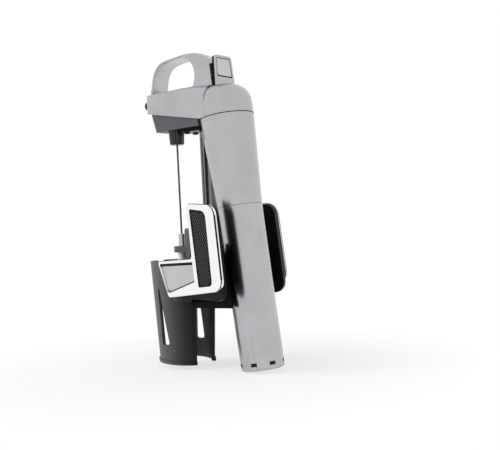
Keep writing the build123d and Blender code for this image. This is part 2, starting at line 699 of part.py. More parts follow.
def spout_ring():
    """Dark cone that closes the gap between spout and head."""
    inner = SPOUT_R + RUN
    length = FRONT_Y - COLLAR_TIP_Y
    cone = turned((inner, 0), (COLLAR_FOOT_R, 0), (COLLAR_TIP_R, length - 0.5), (COLLAR_TIP_R - 0.4, length),
                  (inner, length))
    return Pos(0, FRONT_Y, SPOUT_Z) * Rot(90, 0, 0) * cone


def needle_hub():
    top = HUB_Z + HUB_L
    hub = turned((NEEDLE_R + 0.02, HUB_Z), (HUB_FOOT_R, HUB_Z), (HUB_TOP_R, top), (HUB_STUB_R, top),
                 (HUB_STUB_R, top + HUB_STUB_L), (NEEDLE_R + 0.02, top + HUB_STUB_L))
    outer = [edge for edge in hub.edges().filter_by(GeomType.CIRCLE) if
             abs(edge.radius - HUB_FOOT_R) < 0.01]
    hub = fillet(outer, 1.4)
    groove_r = 1.3
    for k in range(HUB_GRIPS):
        groove = Pos(HUB_FOOT_R + groove_r * 0.75, 0, HUB_Z - 1) * Rot(0, 4, 0) * Cylinder(
            groove_r, HUB_L, align=(Align.CENTER, Align.CENTER, Align.MIN))
        hub -= Rot(0, 0, k * 360 / HUB_GRIPS) * groove
    return hub


def needle():
    bar = pipe(NEEDLE_R, NEEDLE_TIP_Z, HUB_Z + HUB_L + HUB_STUB_L)
    low, high = NEEDLE_TIP_Z - 1, NEEDLE_TIP_Z + NEEDLE_BEVEL
    slope = side_prism(((-NEEDLE_R - 1, low), (NEEDLE_R + 0.3, low), (-NEEDLE_R - 0.1, high),
                        (-NEEDLE_R - 1, high)), 3)
    port = Pos(0, 0, NEEDLE_TIP_Z + NEEDLE_BEVEL + 4) * Rot(0, 90, 0) * Cylinder(0.3, 4)
    return bar - slope - port


def needle_seal():
    """Soft dome on top of the needle's hub."""
    low = HUB_Z + HUB_L + HUB_STUB_L + SEAT
    dome = pipe(SEAL_R, low, low + SEAL_H)
    dome = fillet(dome.edges().filter_by(GeomType.CIRCLE).sort_by(Axis.Z)[-1], 2.4)
    return dome - pipe(0.9, low - 1, low + SEAL_H + 1)


# ================================================================ trigger and valve
def trigger_face_y(z):
    """Y of the trigger's rear face at height z."""
    return TRIGGER_FOOT_Y + (z - HEAD_TOP) * (TRIGGER_TOP_Y - TRIGGER_FOOT_Y) / (TRIGGER_TOP - HEAD_TOP)


def trigger_plane():
    """Plane on the trigger's rear face, x across, y up the plate, normal to the rear."""
    up = Vector(0, trigger_face_y(TRIGGER_TOP) - TRIGGER_FOOT_Y, TRIGGER_TOP - HEAD_TOP).normalized()
    return Plane(origin=(0, TRIGGER_FOOT_Y, HEAD_TOP), x_dir=(-1, 0, 0), z_dir=Vector(-1, 0, 0).cross(up))


def trigger_outline(margin, foot):
    high = (TRIGGER_TOP - HEAD_TOP) - margin
    taper = (TRIGGER_FOOT_HALF - TRIGGER_TOP_HALF) / (TRIGGER_TOP - HEAD_TOP)
    half_high = TRIGGER_FOOT_HALF - taper * high - margin
    half_foot = TRIGGER_FOOT_HALF - taper * max(foot, 0) - margin
    plate = make_face(Polyline((-half_foot, foot), (half_foot, foot), (half_high, high), (-half_high, high),
                               close=True))
    corners = plate.vertices().sort_by(Axis.Y)[-2:]
    return fillet(corners, TRIGGER_CORNER / 2 if margin > CORE_INSET else TRIGGER_CORNER)


def trigger():
    """Metal face of the trigger, with a recess for its panel."""
    plane = trigger_plane()
    foot = PIVOT_Z + BARREL_R + 0.8 - HEAD_TOP
    plate = extrude(plane * trigger_outline(0, foot), -TRIGGER_T)
    recess = extrude(plane * trigger_outline(INLAY_MARGIN, INLAY_FOOT), -INLAY_T - SEAT)
    return single(plate - recess)


def trigger_core():
    """Moulded core behind the metal face, with the pivot barrel and the finger that works the valve."""
    plane = trigger_plane()
    plate = extrude(plane * trigger_outline(CORE_INSET, PIVOT_Z - HEAD_TOP), -TRIGGER_T - CORE_T)
    part = plate - extrude(plane * trigger_outline(-1.0, 2 * (PIVOT_Z - HEAD_TOP)), -TRIGGER_T)
    part += x_bar(BARREL_R, BARREL_HALF, PIVOT_Y, PIVOT_Z)
    tip_z = PLUNGER_TOP_Z + SEAT + FINGER_R
    finger = side_prism(((PIVOT_Y - 1, PIVOT_Z - 1.5), (VALVE_Y + VALVE_PLUNGER_R + FINGER_R, tip_z - 0.8),
                         (VALVE_Y, tip_z - FINGER_R), (VALVE_Y - 0.8, tip_z), (VALVE_Y, tip_z + FINGER_R),
                         (PIVOT_Y, PIVOT_Z + BARREL_R)), FINGER_HALF)
    part += finger + x_bar(FINGER_R, FINGER_HALF, VALVE_Y, tip_z)
    part -= x_bar(PIVOT_R + RUN, BARREL_HALF + 1, PIVOT_Y, PIVOT_Z)
    return single(part)


def trigger_inlay():
    plane = trigger_plane()
    outline = trigger_outline(INLAY_MARGIN + INLAY_LINE, INLAY_FOOT + INLAY_LINE)
    return Location(plane.z_dir * (-INLAY_T - SEAT)) * extrude(plane * outline, INLAY_T)


def trigger_pin():
    return x_bar(PIVOT_R - 0.01, BARREL_HALF + EAR_GAP + EAR_T, PIVOT_Y, PIVOT_Z)


def valve_body():
    bore = VALVE_PLUNGER_R + RUN
    body = turned((bore, VALVE_SEAT_Z), (bore, VALVE_TOP_Z), (VALVE_BODY_R, VALVE_TOP_Z),
                  (VALVE_BODY_R, VALVE_FOOT_Z), (0, VALVE_FOOT_Z), (0, VALVE_SEAT_Z))
    return Pos(0, VALVE_Y, 0) * body


def valve_spring():
    """Spring hidden under the plunger, as the sleeve that it fills."""
    return Pos(0, VALVE_Y, 0) * pipe(VALVE_PLUNGER_R - 0.2, VALVE_SEAT_Z, VALVE_SEAT_Z + VALVE_SPRING_L,
                                     VALVE_PLUNGER_R - 0.9)


def valve_plunger():
    low = VALVE_SEAT_Z + VALVE_SPRING_L + SEAT
    return Pos(0, VALVE_Y, 0) * turned((0, low), (VALVE_PLUNGER_R, low), (VALVE_PLUNGER_R, PLUNGER_TOP_Z - 0.4),
                                       (VALVE_PLUNGER_R - 0.4, PLUNGER_TOP_Z), (0, PLUNGER_TOP_Z))


def gas_tube():
    """Tube from the regulator's outlet to the valve."""
    start = HOUSING.from_local_coords((0, 0, REG_FLANGE_H + REG_BARREL_H + REG_NECK_H + SEAT))
    height = VALVE_FOOT_Z + 3.5
    y_end = VALVE_Y + VALVE_BODY_R + SEAT
    bend = HOUSING.from_local_coords((0, 0, (height - SEAM_Z) / cos(radians(TILT))))
    path = FilletPolyline(start, bend, (0, y_end, bend.Z), radius=2.5)
    ring = Plane(origin=start, z_dir=HOUSING.z_dir) * (Circle(1.6) - Circle(0.8))
    return sweep(ring, path)


# ================================================================ rail
def rail_section(play, low, high):
    """Rail from low to high: front flange, web and rear flange, grown by play."""
    y1 = RAIL_Y
    y2 = y1 + RAIL_FLANGE
    y3 = y2 + RAIL_WEB
    y4 = y3 + RAIL_REAR
    bar = block((-RAIL_HALF - play, RAIL_HALF + play), (y1 - play, y2 + play), (low, high))
    bar += block((-RAIL_WEB_HALF - play, RAIL_WEB_HALF + play), (y2 - play, y3 + play), (low, high))
    bar += block((-RAIL_REAR_HALF - play, RAIL_REAR_HALF + play), (y3 - play, y4 + play), (low, high))
    return bar


def rail():
    bar = rail_section(0, RAIL_FOOT, RAIL_TOP)
    groove = block((RAIL_HALF - 0.6, RAIL_HALF + 1), (RAIL_Y + 1.4, RAIL_Y + 2.4), (RAIL_FOOT + 4, RAIL_TOP - 8))
    bar -= groove
    bar -= mirrored(groove)
    plate = block((-RAIL_PLATE_HALF, RAIL_PLATE_HALF), (RAIL_PLATE_Y, RAIL_Y + RAIL_FLANGE),
                  (RAIL_TOP - RAIL_PLATE_T, RAIL_TOP))
    plate = fillet(plate.edges().filter_by(Axis.Z).sort_by(Axis.Y)[:2], 3.0)
    bar += plate - housing_core(SEAT)
    for x in (-RAIL_SCREW_X, RAIL_SCREW_X):
        bar -= Pos(x, RAIL_SCREW_Y, 0) * pipe(RAIL_SCREW_R + 0.05, RAIL_TOP - 10, RAIL_TOP + 1)
    return single(bar)


def screw(shank_r, length, head_r, head_h):
    """Pan-head screw pointing up, its head's underside at Z = 0."""
    part = pipe(shank_r, 0, length) + turned((0, -head_h), (head_r * 0.75, -head_h), (head_r, -head_h * 0.45),
                                             (head_r, 0), (0, 0))
    recess = block((-head_r * 0.6, head_r * 0.6), (-0.35, 0.35), (-head_h - 1, -head_h * 0.5))
    return part - recess - Rot(0, 0, 90) * recess


def rail_screws():
    foot = RAIL_TOP - RAIL_PLATE_T
    return [Pos(x, RAIL_SCREW_Y, foot) * screw(RAIL_SCREW_R, RAIL_PLATE_T + COVER_WALL, 2.3, 1.3) for x in
            (-RAIL_SCREW_X, RAIL_SCREW_X)]


# ================================================================ clamp carriage
def saddle_cut():
    """Room for the gas housing with the head all the way down."""
    gap = BODY_GAP
    low = turned((0, -CUP_L), (CUP_END_R + gap, -CUP_L), (SEAM_R + gap, 0), (HEAD_R + gap, UPPER_L),
                 (HEAD_R + gap, UPPER_L + 10), (0, UPPER_L + 10))
    return Pos(0, 0, -STROKE) * HOUSING.location * low


def cheek_rear(z):
    """Rear edge of the saddle's cheeks at height z."""
    return axis_y(z + STROKE) + CHEEK_PAST


def clamp_carriage():
    core = block((-CAR_HALF, CAR_HALF), (CAR_FRONT_Y, CHEEK_FRONT_Y + 2), (CAR_FOOT, CAR_TOP))
    cheeks = side_prism(((CHEEK_FRONT_Y, CAR_FOOT), (cheek_rear(CAR_FOOT), CAR_FOOT),
                         (cheek_rear(CHEEK_TOP), CHEEK_TOP), (CHEEK_FRONT_Y + 6, CHEEK_TOP),
                         (CHEEK_FRONT_Y, CHEEK_TOP - 8)), CHEEK_HALF)
    foot_plan = make_face(Polyline((-CAR_HALF, CAR_FRONT_Y), (CAR_HALF, CAR_FRONT_Y), (FOOT_PLATE_HALF, 26.5),
                                   (FOOT_PLATE_HALF, CHEEK_FRONT_Y + 4), (CHEEK_HALF, cheek_rear(CAR_FOOT)),
                                   (-CHEEK_HALF, cheek_rear(CAR_FOOT)), (-FOOT_PLATE_HALF, CHEEK_FRONT_Y + 4),
                                   (-FOOT_PLATE_HALF, 26.5), close=True))
    foot_plan = fillet(foot_plan.vertices().sort_by(Axis.Y)[2:4], 3.0)
    body = core + cheeks + Pos(0, 0, CAR_FOOT) * extrude(foot_plan, EAR_H)
    for side in (-1, 1):
        ear = make_hull((Pos(side * HINGE_X, HINGE_Y) * Circle(KNUCKLE_R)).edges() +
                        (Pos(side * (CAR_HALF - 3), HINGE_Y) * Rectangle(4, 12)).edges())
        body += Pos(0, 0, KNUCKLE_TOP + 0.3) * extrude(ear, EAR_H)
        body -= Pos(side * HINGE_X, HINGE_Y, 0) * pipe(HINGE_PIN_R, CAR_FOOT + 1, CAR_TOP)
    body -= saddle_cut()
    body -= rail_section(SLIDE_PLAY, CAR_FOOT - 1, CAR_TOP + 1)
    body -= brake_room(SEAT)
    for side in (1, -1):
        body -= Pos(side * CHEEK_HALF, cheek_rear(CHEEK_SCREW_Z) - CHEEK_SCREW_IN, CHEEK_SCREW_Z) * Rot(
            0, 90, 0) * Cylinder(0.9 + RUN, 2.4)
    return single(body)


def hinge_pin():
    top = KNUCKLE_TOP + 0.3 + EAR_H
    pin = pipe(HINGE_PIN_R - 0.01, CAR_FOOT + 1, top) + pipe(HINGE_PIN_R + 0.9, top, top + 1.0)
    return Pos(HINGE_X, HINGE_Y, 0) * pin


def cheek_screw():
    """Bright pan-head screw on the cheek's outer face."""
    place = Pos(CHEEK_HALF, cheek_rear(CHEEK_SCREW_Z) - CHEEK_SCREW_IN, CHEEK_SCREW_Z)
    return place * Rot(0, -90, 0) * screw(0.9, 1.0, 1.5, 0.9)


def needle_guide():
    """Lip plate, bracket and flange that steady the needle over the bottle's mouth."""
    plan = make_hull(Circle(LIP_PLATE_R).edges() + (Pos(0, 12) * Rectangle(2 * GUIDE_ARM_HALF, 1)).edges())
    arm = block((-GUIDE_ARM_HALF, GUIDE_ARM_HALF), (10, CAR_FRONT_Y), (LIP_PLATE_Z, LIP_PLATE_Z + LIP_PLATE_T))
    part = Pos(0, 0, LIP_PLATE_Z) * extrude(plan, LIP_PLATE_T) + arm
    post = block((-BRACKET_HALF, BRACKET_HALF), (BRACKET_Y, BRACKET_Y + BRACKET_T), (LIP_PLATE_Z, BRACKET_TOP))
    post = fillet(post.edges().filter_by(Axis.Y).sort_by(Axis.Z)[-2:], 2.2)
    part += post
    neck = make_hull(Circle(FLANGE_R).edges() + (Pos(0, BRACKET_Y + 1) * Rectangle(2 * BRACKET_HALF, 2)).edges())
    part += Pos(0, 0, FLANGE_Z) * extrude(neck, FLANGE_T)
    foot = block((-GUIDE_ARM_HALF, GUIDE_ARM_HALF), (CAR_FRONT_Y - 2.6, CAR_FRONT_Y),
                 (LIP_PLATE_Z, LIP_PLATE_Z + 13))
    gusset = side_prism(((BRACKET_Y + 2, LIP_PLATE_Z + 1), (CAR_FRONT_Y - 1, LIP_PLATE_Z + 1),
                         (CAR_FRONT_Y - 1, LIP_PLATE_Z + 9), (BRACKET_Y + 2, LIP_PLATE_Z + 15)), 1.2)
    part += foot + gusset
    part -= pipe(TUBE_R + SEAT / 2, FLANGE_Z - 0.01, FLANGE_Z + FLANGE_T + 1)
    part -= pipe(1.6, LIP_PLATE_Z - 1, LIP_PLATE_Z + LIP_PLATE_T + 1)
    for side in (-1, 1):
        part -= Pos(side * 4.2, CAR_FRONT_Y, LIP_PLATE_Z + 10) * Rot(90, 0, 0) * Cylinder(1.1, 12)
    return part


def guide_tube():
    return pipe(TUBE_R, FLANGE_Z + 0.02, TUBE_TOP, NEEDLE_R + RUN)


def guide_bush():
    low = LIP_PLATE_Z + LIP_PLATE_T
    return pipe(BUSH_R, low + 0.02, FLANGE_Z - 0.02, NEEDLE_R + RUN)


def guide_screws():
    face = CAR_FRONT_Y - 2.6
    return [Pos(side * 4.2, face, LIP_PLATE_Z + 10) * Rot(-90, 0, 0) * screw(1.05, 2.6, 1.9, 1.1) for side in
            (-1, 1)]


def brake_room(play):
    """Pocket of the rail brake, in the carriage's front wall."""
    face = RAIL_Y - SLIDE_PLAY
    return block((-3 - play, 3 + play), (face - BRAKE_T - play, face + play),
                 (CAR_TOP - 14 - play, CAR_TOP - 4 + play))


def rail_brake():
    """Spring strip that presses on the rail so the head stays where it is put."""
    return brake_room(0)


# ================================================================ jaws
def sleeve_shell(grow, low, high):
    """Part of the conical sleeve wall, its outside grown by grow."""
    return turned((sleeve_r(low) - SLEEVE_WALL, low), (sleeve_r(low) + grow, low), (sleeve_r(high) + grow, high),
                  (sleeve_r(high) - SLEEVE_WALL, high), arc=SLEEVE_REAR_DEG - SLEEVE_FRONT_DEG,
                  start=SLEEVE_FRONT_DEG)


def slanted_half(height):
    """Everything below a plane that rises towards the spout, at height on the needle's axis."""
    return Pos(0, 0, height) * Rot(-SLEEVE_SLANT, 0, 0) * Pos(0, 0, -BIG / 2) * Box(BIG, BIG, BIG)


def window_cut():
    """Long window, pointed at its top, cut square to the sleeve."""
    middle = (WINDOW_LEFT_DEG + WINDOW_RIGHT_DEG) / 2
    radius = sleeve_r(WINDOW_FOOT)
    half = radius * sin(radians((WINDOW_RIGHT_DEG - WINDOW_LEFT_DEG) / 2))
    plane = Plane(origin=(0, 0, 0), x_dir=(-sin(radians(middle)), cos(radians(middle)), 0),
                  z_dir=(cos(radians(middle)), sin(radians(middle)), 0))
    shape = make_face(Polyline((-half, WINDOW_FOOT), (half, WINDOW_FOOT), (-half + 1.6, WINDOW_TOP),
                               (-half, WINDOW_TOP), close=True))
    shape = fillet(shape.vertices().sort_by(Axis.Y)[:2], 2.0)
    return extrude(plane * shape, 60)


def rounded(corners, grow=0.0):
    """Face from (x, y, corner radius) rows, grown by grow."""
    face = make_face(Polyline(*[(x, y) for x, y, radius in corners], close=True))
    for x, y, radius in corners:
        vertex = min(face.vertices(), key=lambda v: (v.X - x) ** 2 + (v.Y - y) ** 2)
        face = fillet(vertex, radius)
    return offset(face, grow) if grow else face


def pad_outline(grow=0.0):
    return rounded(PAD_CORNERS, grow)


def plate_outline(grow=0.0, slot=0.0):
    """Toe plate; slot lowers its top edge and leaves a dark slot above it."""
    corners = [(5.2, 1.0), (44.8, 2.4), (46.4, -11.6), (16.0, -20.2), (13.0, -19.4)]
    face = make_face(Polyline(*corners, close=True))
    if slot:
        face -= make_face(Polyline((0, 0.8 - slot), (60, 2.9 - slot), (60, 9), (0, 9), close=True))
    if grow:
        face = offset(face, grow)
    return face


def on_wing(sketch, low, high):
    """Plate on the wing between two depths, counted outwards from its face."""
    return Location(WING.z_dir * low) * extrude(WING * sketch, high - low)


def wing_frame():
    body = on_wing(rounded(FRAME_CORNERS), -FRAME_T, 0)
    face = max(body.faces(), key=lambda f: f.center().dot(WING.z_dir) if f.area > 900 else -BIG)
    body = fillet(face.outer_wire().edges(), WING_ROUND)
    body -= on_wing(pad_outline(0.15), -FRAME_T - 1, 1)
    body -= on_wing(plate_outline(0.15), -FRAME_T - 1, 1)
    return single(body - sleeve_room())


def grip_pad():
    return on_wing(pad_outline(), -FRAME_T, -PAD_SINK)


def toe_plate():
    return on_wing(plate_outline(slot=1.9), -FRAME_T, -PLATE_SINK) - sleeve_room()


def sleeve_room():
    """Everything inside the sleeve's outer surface, with a seat's play."""
    low, high = SLEEVE_FOOT, SLEEVE_TOP + 30
    return turned((0, low), (sleeve_r(low) + SEAT, low), (sleeve_r(high) + SEAT, high), (0, high))


def jaw_arm():
    """Arm from the sleeve past the hinge to the wing."""
    foot, top = CAR_FOOT + EAR_H + 0.3, KNUCKLE_TOP
    wing_back = FRAME_T + BACK_T / 2
    end = WING.from_local_coords((36.0, 0, -wing_back))
    front = WING.from_local_coords((14.0, 0, -wing_back))
    arm = make_face(Polyline((12.6, 19.2), (HINGE_X - KNUCKLE_R + 0.6, HINGE_Y - 2.6),
                             (HINGE_X + 1, HINGE_Y + KNUCKLE_R - 0.2), (end.X, end.Y), (front.X, front.Y),
                             (20.5, 11.0), close=True))
    arm = arm + Pos(HINGE_X, HINGE_Y) * Circle(KNUCKLE_R)
    arm = Pos(0, 0, foot) * extrude(arm, top - foot)
    inside = pipe(sleeve_r(0) - SLEEVE_WALL / 2 - 1.4, foot - 5, top + 5)
    return arm - inside


def jaw():
    low = SLEEVE_FOOT - 6
    shell = sleeve_shell(0, low, SLEEVE_TOP) - slanted_half(SLEEVE_FOOT)
    lip = sleeve_shell(SLEEVE_LIP, low, SLEEVE_FOOT + 8) - slanted_half(SLEEVE_FOOT)
    lip &= slanted_half(SLEEVE_FOOT + SLEEVE_LIP_H)
    part = shell + lip - window_cut()
    part += on_wing(rounded(BACK_CORNERS), -FRAME_T - BACK_T, -FRAME_T - 0.02)
    part += jaw_arm()
    part -= Pos(HINGE_X, HINGE_Y, 0) * pipe(HINGE_PIN_R + RUN, CAR_FOOT, CAR_TOP)
    part -= sleeve_inside()
    return single(part)


def sleeve_inside():
    """Clear space inside the sleeve wall."""
    low, high = SLEEVE_FOOT - 10, SLEEVE_TOP + 1
    wall = SLEEVE_WALL
    return turned((0, low), (sleeve_r(low) - wall, low), (sleeve_r(high) - wall, high), (0, high))


def neck_pad():
    """Soft pad with ribs on its back, seated in the sleeve."""
    low, high = -NECK_GRIP, 0.0
    back = SLEEVE_WALL + SEAT
    pad = turned((NECK_R, low), (sleeve_r(low) - back, low), (sleeve_r(high) - back, high), (NECK_R, high),
                 arc=2 * PAD_HALF_DEG, start=-PAD_HALF_DEG)
    pitch = (2 * PAD_HALF_DEG - PAD_RIB_DEG) / (PAD_RIBS - 1)
    for k in range(PAD_RIBS - 1):
        start = -PAD_HALF_DEG + PAD_RIB_DEG + k * pitch
        pad -= turned((NECK_R + PAD_SKIN, low - 1), (SLEEVE_R + 5, low - 1), (SLEEVE_R + 5, high + 1),
                      (NECK_R + PAD_SKIN, high + 1), arc=pitch - PAD_RIB_DEG, start=start)
    return pad


# ================================================================ build
PAIRS = {"jaw": jaw, "wing_frame": wing_frame, "grip_pad": grip_pad, "toe_plate": toe_plate, "neck_pad": neck_pad,
         "hinge_pin": hinge_pin}
SINGLES = {"head_shell": head_shell, "under_cover": under_cover, "upper_body": upper_body,
           "capsule_cup": capsule_cup, "cup_cushion": cup_cushion, "gas_capsule": gas_capsule,
           "regulator_body": regulator_body, "piercing_pin": piercing_pin, "capsule_seal": capsule_seal,
           "regulator_piston": regulator_piston, "regulator_spring": regulator_spring, "body_seal": body_seal,
           "fluid_block": fluid_block, "spout": spout, "spout_ring": spout_ring, "needle_hub": needle_hub,
           "needle": needle, "needle_seal": needle_seal, "trigger": trigger, "trigger_core": trigger_core,
           "trigger_inlay": trigger_inlay, "trigger_pin": trigger_pin, "valve_body": valve_body, "valve_spring": valve_spring,
           "valve_plunger": valve_plunger, "gas_tube": gas_tube, "rail": rail, "clamp_carriage": clamp_carriage,
           "needle_guide": needle_guide, "guide_tube": guide_tube, "guide_bush": guide_bush,
           "rail_brake": rail_brake}
for name, make in SINGLES.items():
    save(name, make())
for name, make in PAIRS.items():
    right = make()
    save(name + "_right", right)
    save(name + "_left", mirrored(right))
save("rail_screws", Compound(children=rail_screws()))
save("guide_screws", Compound(children=guide_screws()))
save("cheek_screws", Compound(children=[cheek_screw(), mirrored(cheek_screw())]))
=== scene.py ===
"""Looks of the wine preservation dispenser: finishes, fine trim, studio and camera.

Metres; the trim's sizes are in millimetres until its points are placed. The needle stands on the
Z axis, the spout points to -Y, and Z = 0 is where the bottle's lip stops.
"""
import json
import math

import bpy
from mathutils import Matrix, Vector


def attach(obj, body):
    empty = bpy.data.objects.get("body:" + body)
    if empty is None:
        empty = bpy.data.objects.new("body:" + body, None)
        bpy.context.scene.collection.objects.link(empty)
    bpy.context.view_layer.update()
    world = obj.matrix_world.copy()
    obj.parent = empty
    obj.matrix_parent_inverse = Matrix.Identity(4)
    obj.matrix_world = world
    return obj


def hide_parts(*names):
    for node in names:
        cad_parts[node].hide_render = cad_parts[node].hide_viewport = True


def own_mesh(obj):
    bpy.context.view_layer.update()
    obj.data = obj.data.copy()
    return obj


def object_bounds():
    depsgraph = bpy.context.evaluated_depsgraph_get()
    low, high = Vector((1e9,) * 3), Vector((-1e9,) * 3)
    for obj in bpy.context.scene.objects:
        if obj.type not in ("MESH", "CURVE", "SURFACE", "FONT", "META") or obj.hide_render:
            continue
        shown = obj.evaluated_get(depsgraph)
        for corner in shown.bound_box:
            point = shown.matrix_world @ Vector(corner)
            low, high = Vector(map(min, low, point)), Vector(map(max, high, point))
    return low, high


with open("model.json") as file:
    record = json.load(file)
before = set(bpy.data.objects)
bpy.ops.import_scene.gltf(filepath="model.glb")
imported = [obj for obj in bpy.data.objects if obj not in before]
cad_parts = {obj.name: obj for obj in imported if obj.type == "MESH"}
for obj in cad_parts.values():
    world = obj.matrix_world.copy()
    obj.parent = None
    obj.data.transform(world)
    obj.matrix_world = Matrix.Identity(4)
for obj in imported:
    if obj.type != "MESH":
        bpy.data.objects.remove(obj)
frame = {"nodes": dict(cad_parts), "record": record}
NODES = frame["nodes"]
CAD_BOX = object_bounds()
MM = 0.001

# ------------------------------------------------------------------ places that looks and trim are fitted to
# millimetres and radians, which repeat the part's source
WING_TURN = math.radians(12.1)          # the wings' faces open towards the back by this much
WING_X, WING_Y = 25.6, -5.0             # front end of the right wing's face, in plan
TILT = math.radians(6.7)                # the gas housing leans towards the spout at its top
SEAM_Y, SEAM_Z = 57.6, 41.3             # housing axis at the seam between cup and upper body
UPPER_L, CUP_L = 66.6, 120.0            # upper body and cup, along the housing's axis
HEAD_Z = SEAM_Z + UPPER_L * math.cos(TILT)
HEAD_Y = SEAM_Y - UPPER_L * math.sin(TILT)
HEAD_TOP = HEAD_Z + 24.1
TRIGGER_H, TRIGGER_FOOT_HALF, TRIGGER_TOP_HALF = 21.9, 11.7, 9.7
TRIGGER_FOOT_Y = HEAD_Y + 0.6           # rear face where it leaves the head
TRIGGER_FORWARD = 1.5                   # the face leans forward by this much over its height
# corners on the wing's face: to the rear, up, radius; the frame's run the other way round than in the part
PAD_CORNERS = ((44.2, 40.4, 1.2), (62.0, 38.2, 6.0), (66.2, -14.2, 3.0), (51.0, -15.6, 1.4))
FRAME_CORNERS = ((1.0, 3.2, 2.0), (13.4, -24.4, 3.6), (76.4, -18.2, 8.0), (70.4, 42.6, 9.0),
                 (40.2, 44.8, 3.0), (43.2, 5.0, 2.2))
PAD_SINK = 0.5                          # pad's face below the frame's
# where two finishes meet on one node, chosen for the looks
SLEEVE_REAR_Y, WING_BACK_Y = -4, 26     # jaw: matt grey before the first, smooth black behind the second; the fade between is partly painted shade
RAIL_PLATE_Z = (98.5, 99.2)             # rail: from the bar to the foot plate under the head


# ------------------------------------------------------------------ colour and node helpers
def srgb(code):
    """Linear RGBA of an sRGB hex colour."""
    values = [int(code[i:i + 2], 16) / 255 for i in (1, 3, 5)]
    linear = [v / 12.92 if v <= 0.04045 else ((v + 0.055) / 1.055) ** 2.4 for v in values]
    return (*linear, 1.0)


def add(tree, kind, settings=None, **inputs):
    """Adds a node, sets its properties, and sets or links its inputs by name, or by number as _0, _1."""
    node = tree.nodes.new(kind)
    for name, value in (settings or {}).items():
        setattr(node, name, value)
    for name, value in inputs.items():
        socket = node.inputs[int(name[1:])] if name[0] == "_" else node.inputs[name.replace("_", " ")]
        if isinstance(value, bpy.types.NodeSocket):
            tree.links.new(value, socket)
        else:
            socket.default_value = value
    return node


def new_finish(name):
    """A material with an empty tree and its output."""
    finish = bpy.data.materials.new(name)
    finish.use_nodes = True
    finish.node_tree.nodes.clear()
    return finish, finish.node_tree, finish.node_tree.nodes.new("ShaderNodeOutputMaterial")


def per_mm(size):
    """Texture scale for a feature of that size in millimetres, in object space."""
    return 1 / (size * MM)


# ------------------------------------------------------------------ finishes
GRIT = 0.9              # blasting grit; the real one is about 0.1 mm, drawn coarser so that it shows at all
BLAST_CLOUD = 26        # uneven patches in the anodising
PEBBLE = 0.7            # grain of an eroded mould, which is finer in life and wouldn't show
PEBBLE_DEPTH = 0.06 * MM
MOULD_CLOUD = 14        # patches where the moulding's skin is a little lighter
DRAWN_LINE = 0.3        # lines of a drawn or turned bar, also drawn coarser than they are
LINE_STRETCH = 0.03     # a line's width to its length
DUST = 2.5              # patches of dust and handling on rubber


def satin_anodised_aluminium(name, light, dark, rough):
    """Bead-blasted and anodised: broad soft highlights and a very fine even grain."""
    finish, tree, out = new_finish(name)
    place = add(tree, "ShaderNodeTexCoord").outputs["Object"]
    grain = add(tree, "ShaderNodeTexNoise", Vector=place, Scale=per_mm(GRIT), Detail=2.0, Roughness=0.6)
    cloud = add(tree, "ShaderNodeTexNoise", Vector=place, Scale=per_mm(BLAST_CLOUD), Detail=3.0,
                Roughness=0.5)
    shade = add(tree, "ShaderNodeMath", {"operation": "MULTIPLY_ADD"}, _0=grain.outputs["Fac"], _1=0.7,
                _2=cloud.outputs["Fac"])
    level = add(tree, "ShaderNodeMapRange", Value=shade.outputs[0], From_Min=0.55, From_Max=1.15)
    tone = add(tree, "ShaderNodeMix", {"data_type": "RGBA"}, _0=level.outputs[0], _6=srgb(dark),
               _7=srgb(light))
    gloss = add(tree, "ShaderNodeMapRange", Value=grain.outputs["Fac"], To_Min=rough - 0.03,
                To_Max=rough + 0.03)
    bump = add(tree, "ShaderNodeBump", Strength=0.05, Distance=0.02 * MM, Height=grain.outputs["Fac"])
    shader = add(tree, "ShaderNodeBsdfPrincipled", Base_Color=tone.outputs[2], Metallic=1.0,
                 Roughness=gloss.outputs[0], Normal=bump.outputs[0])
    tree.links.new(shader.outputs[0], out.inputs[0])
    return finish


def polished_chrome():
    """Plated zinc die casting: mirror bright, with a faint polishing haze in patches of about 6 mm."""
    finish, tree, out = new_finish("polished_chrome")
    place = add(tree, "ShaderNodeTexCoord").outputs["Object"]
    haze = add(tree, "ShaderNodeTexNoise", Vector=place, Scale=per_mm(6), Detail=4.0)
    gloss = add(tree, "ShaderNodeMapRange", Value=haze.outputs["Fac"], To_Min=0.04, To_Max=0.1)
    tone = add(tree, "ShaderNodeMix", {"data_type": "RGBA"}, _0=haze.outputs["Fac"], _6=srgb("#eef0f1"),
               _7=srgb("#fafafa"))
    shader = add(tree, "ShaderNodeBsdfPrincipled", Base_Color=tone.outputs[2], Metallic=1.0,
                 Roughness=gloss.outputs[0])
    tree.links.new(shader.outputs[0], out.inputs[0])
    return finish


def moulded_nylon(name, light, dark, rough, specular):
    """Glass-filled nylon from an eroded mould: nearly matt, with a fine pebble grain."""
    finish, tree, out = new_finish(name)
    place = add(tree, "ShaderNodeTexCoord").outputs["Object"]
    pebble = add(tree, "ShaderNodeTexVoronoi", Vector=place, Scale=per_mm(PEBBLE))
    cloud = add(tree, "ShaderNodeTexNoise", Vector=place, Scale=per_mm(MOULD_CLOUD), Detail=4.0)
    tone = add(tree, "ShaderNodeMix", {"data_type": "RGBA"}, _0=cloud.outputs["Fac"], _6=srgb(dark),
               _7=srgb(light))
    gloss = add(tree, "ShaderNodeMapRange", Value=cloud.outputs["Fac"], To_Min=rough - 0.05,
                To_Max=rough + 0.06)
    bump = add(tree, "ShaderNodeBump", Strength=0.1, Distance=PEBBLE_DEPTH, Height=pebble.outputs["Distance"])
    shader = add(tree, "ShaderNodeBsdfPrincipled", Base_Color=tone.outputs[2], Roughness=gloss.outputs[0],
                 IOR=1.53, Specular_IOR_Level=specular, Normal=bump.outputs[0])
    tree.links.new(shader.outputs[0], out.inputs[0])
    return finish


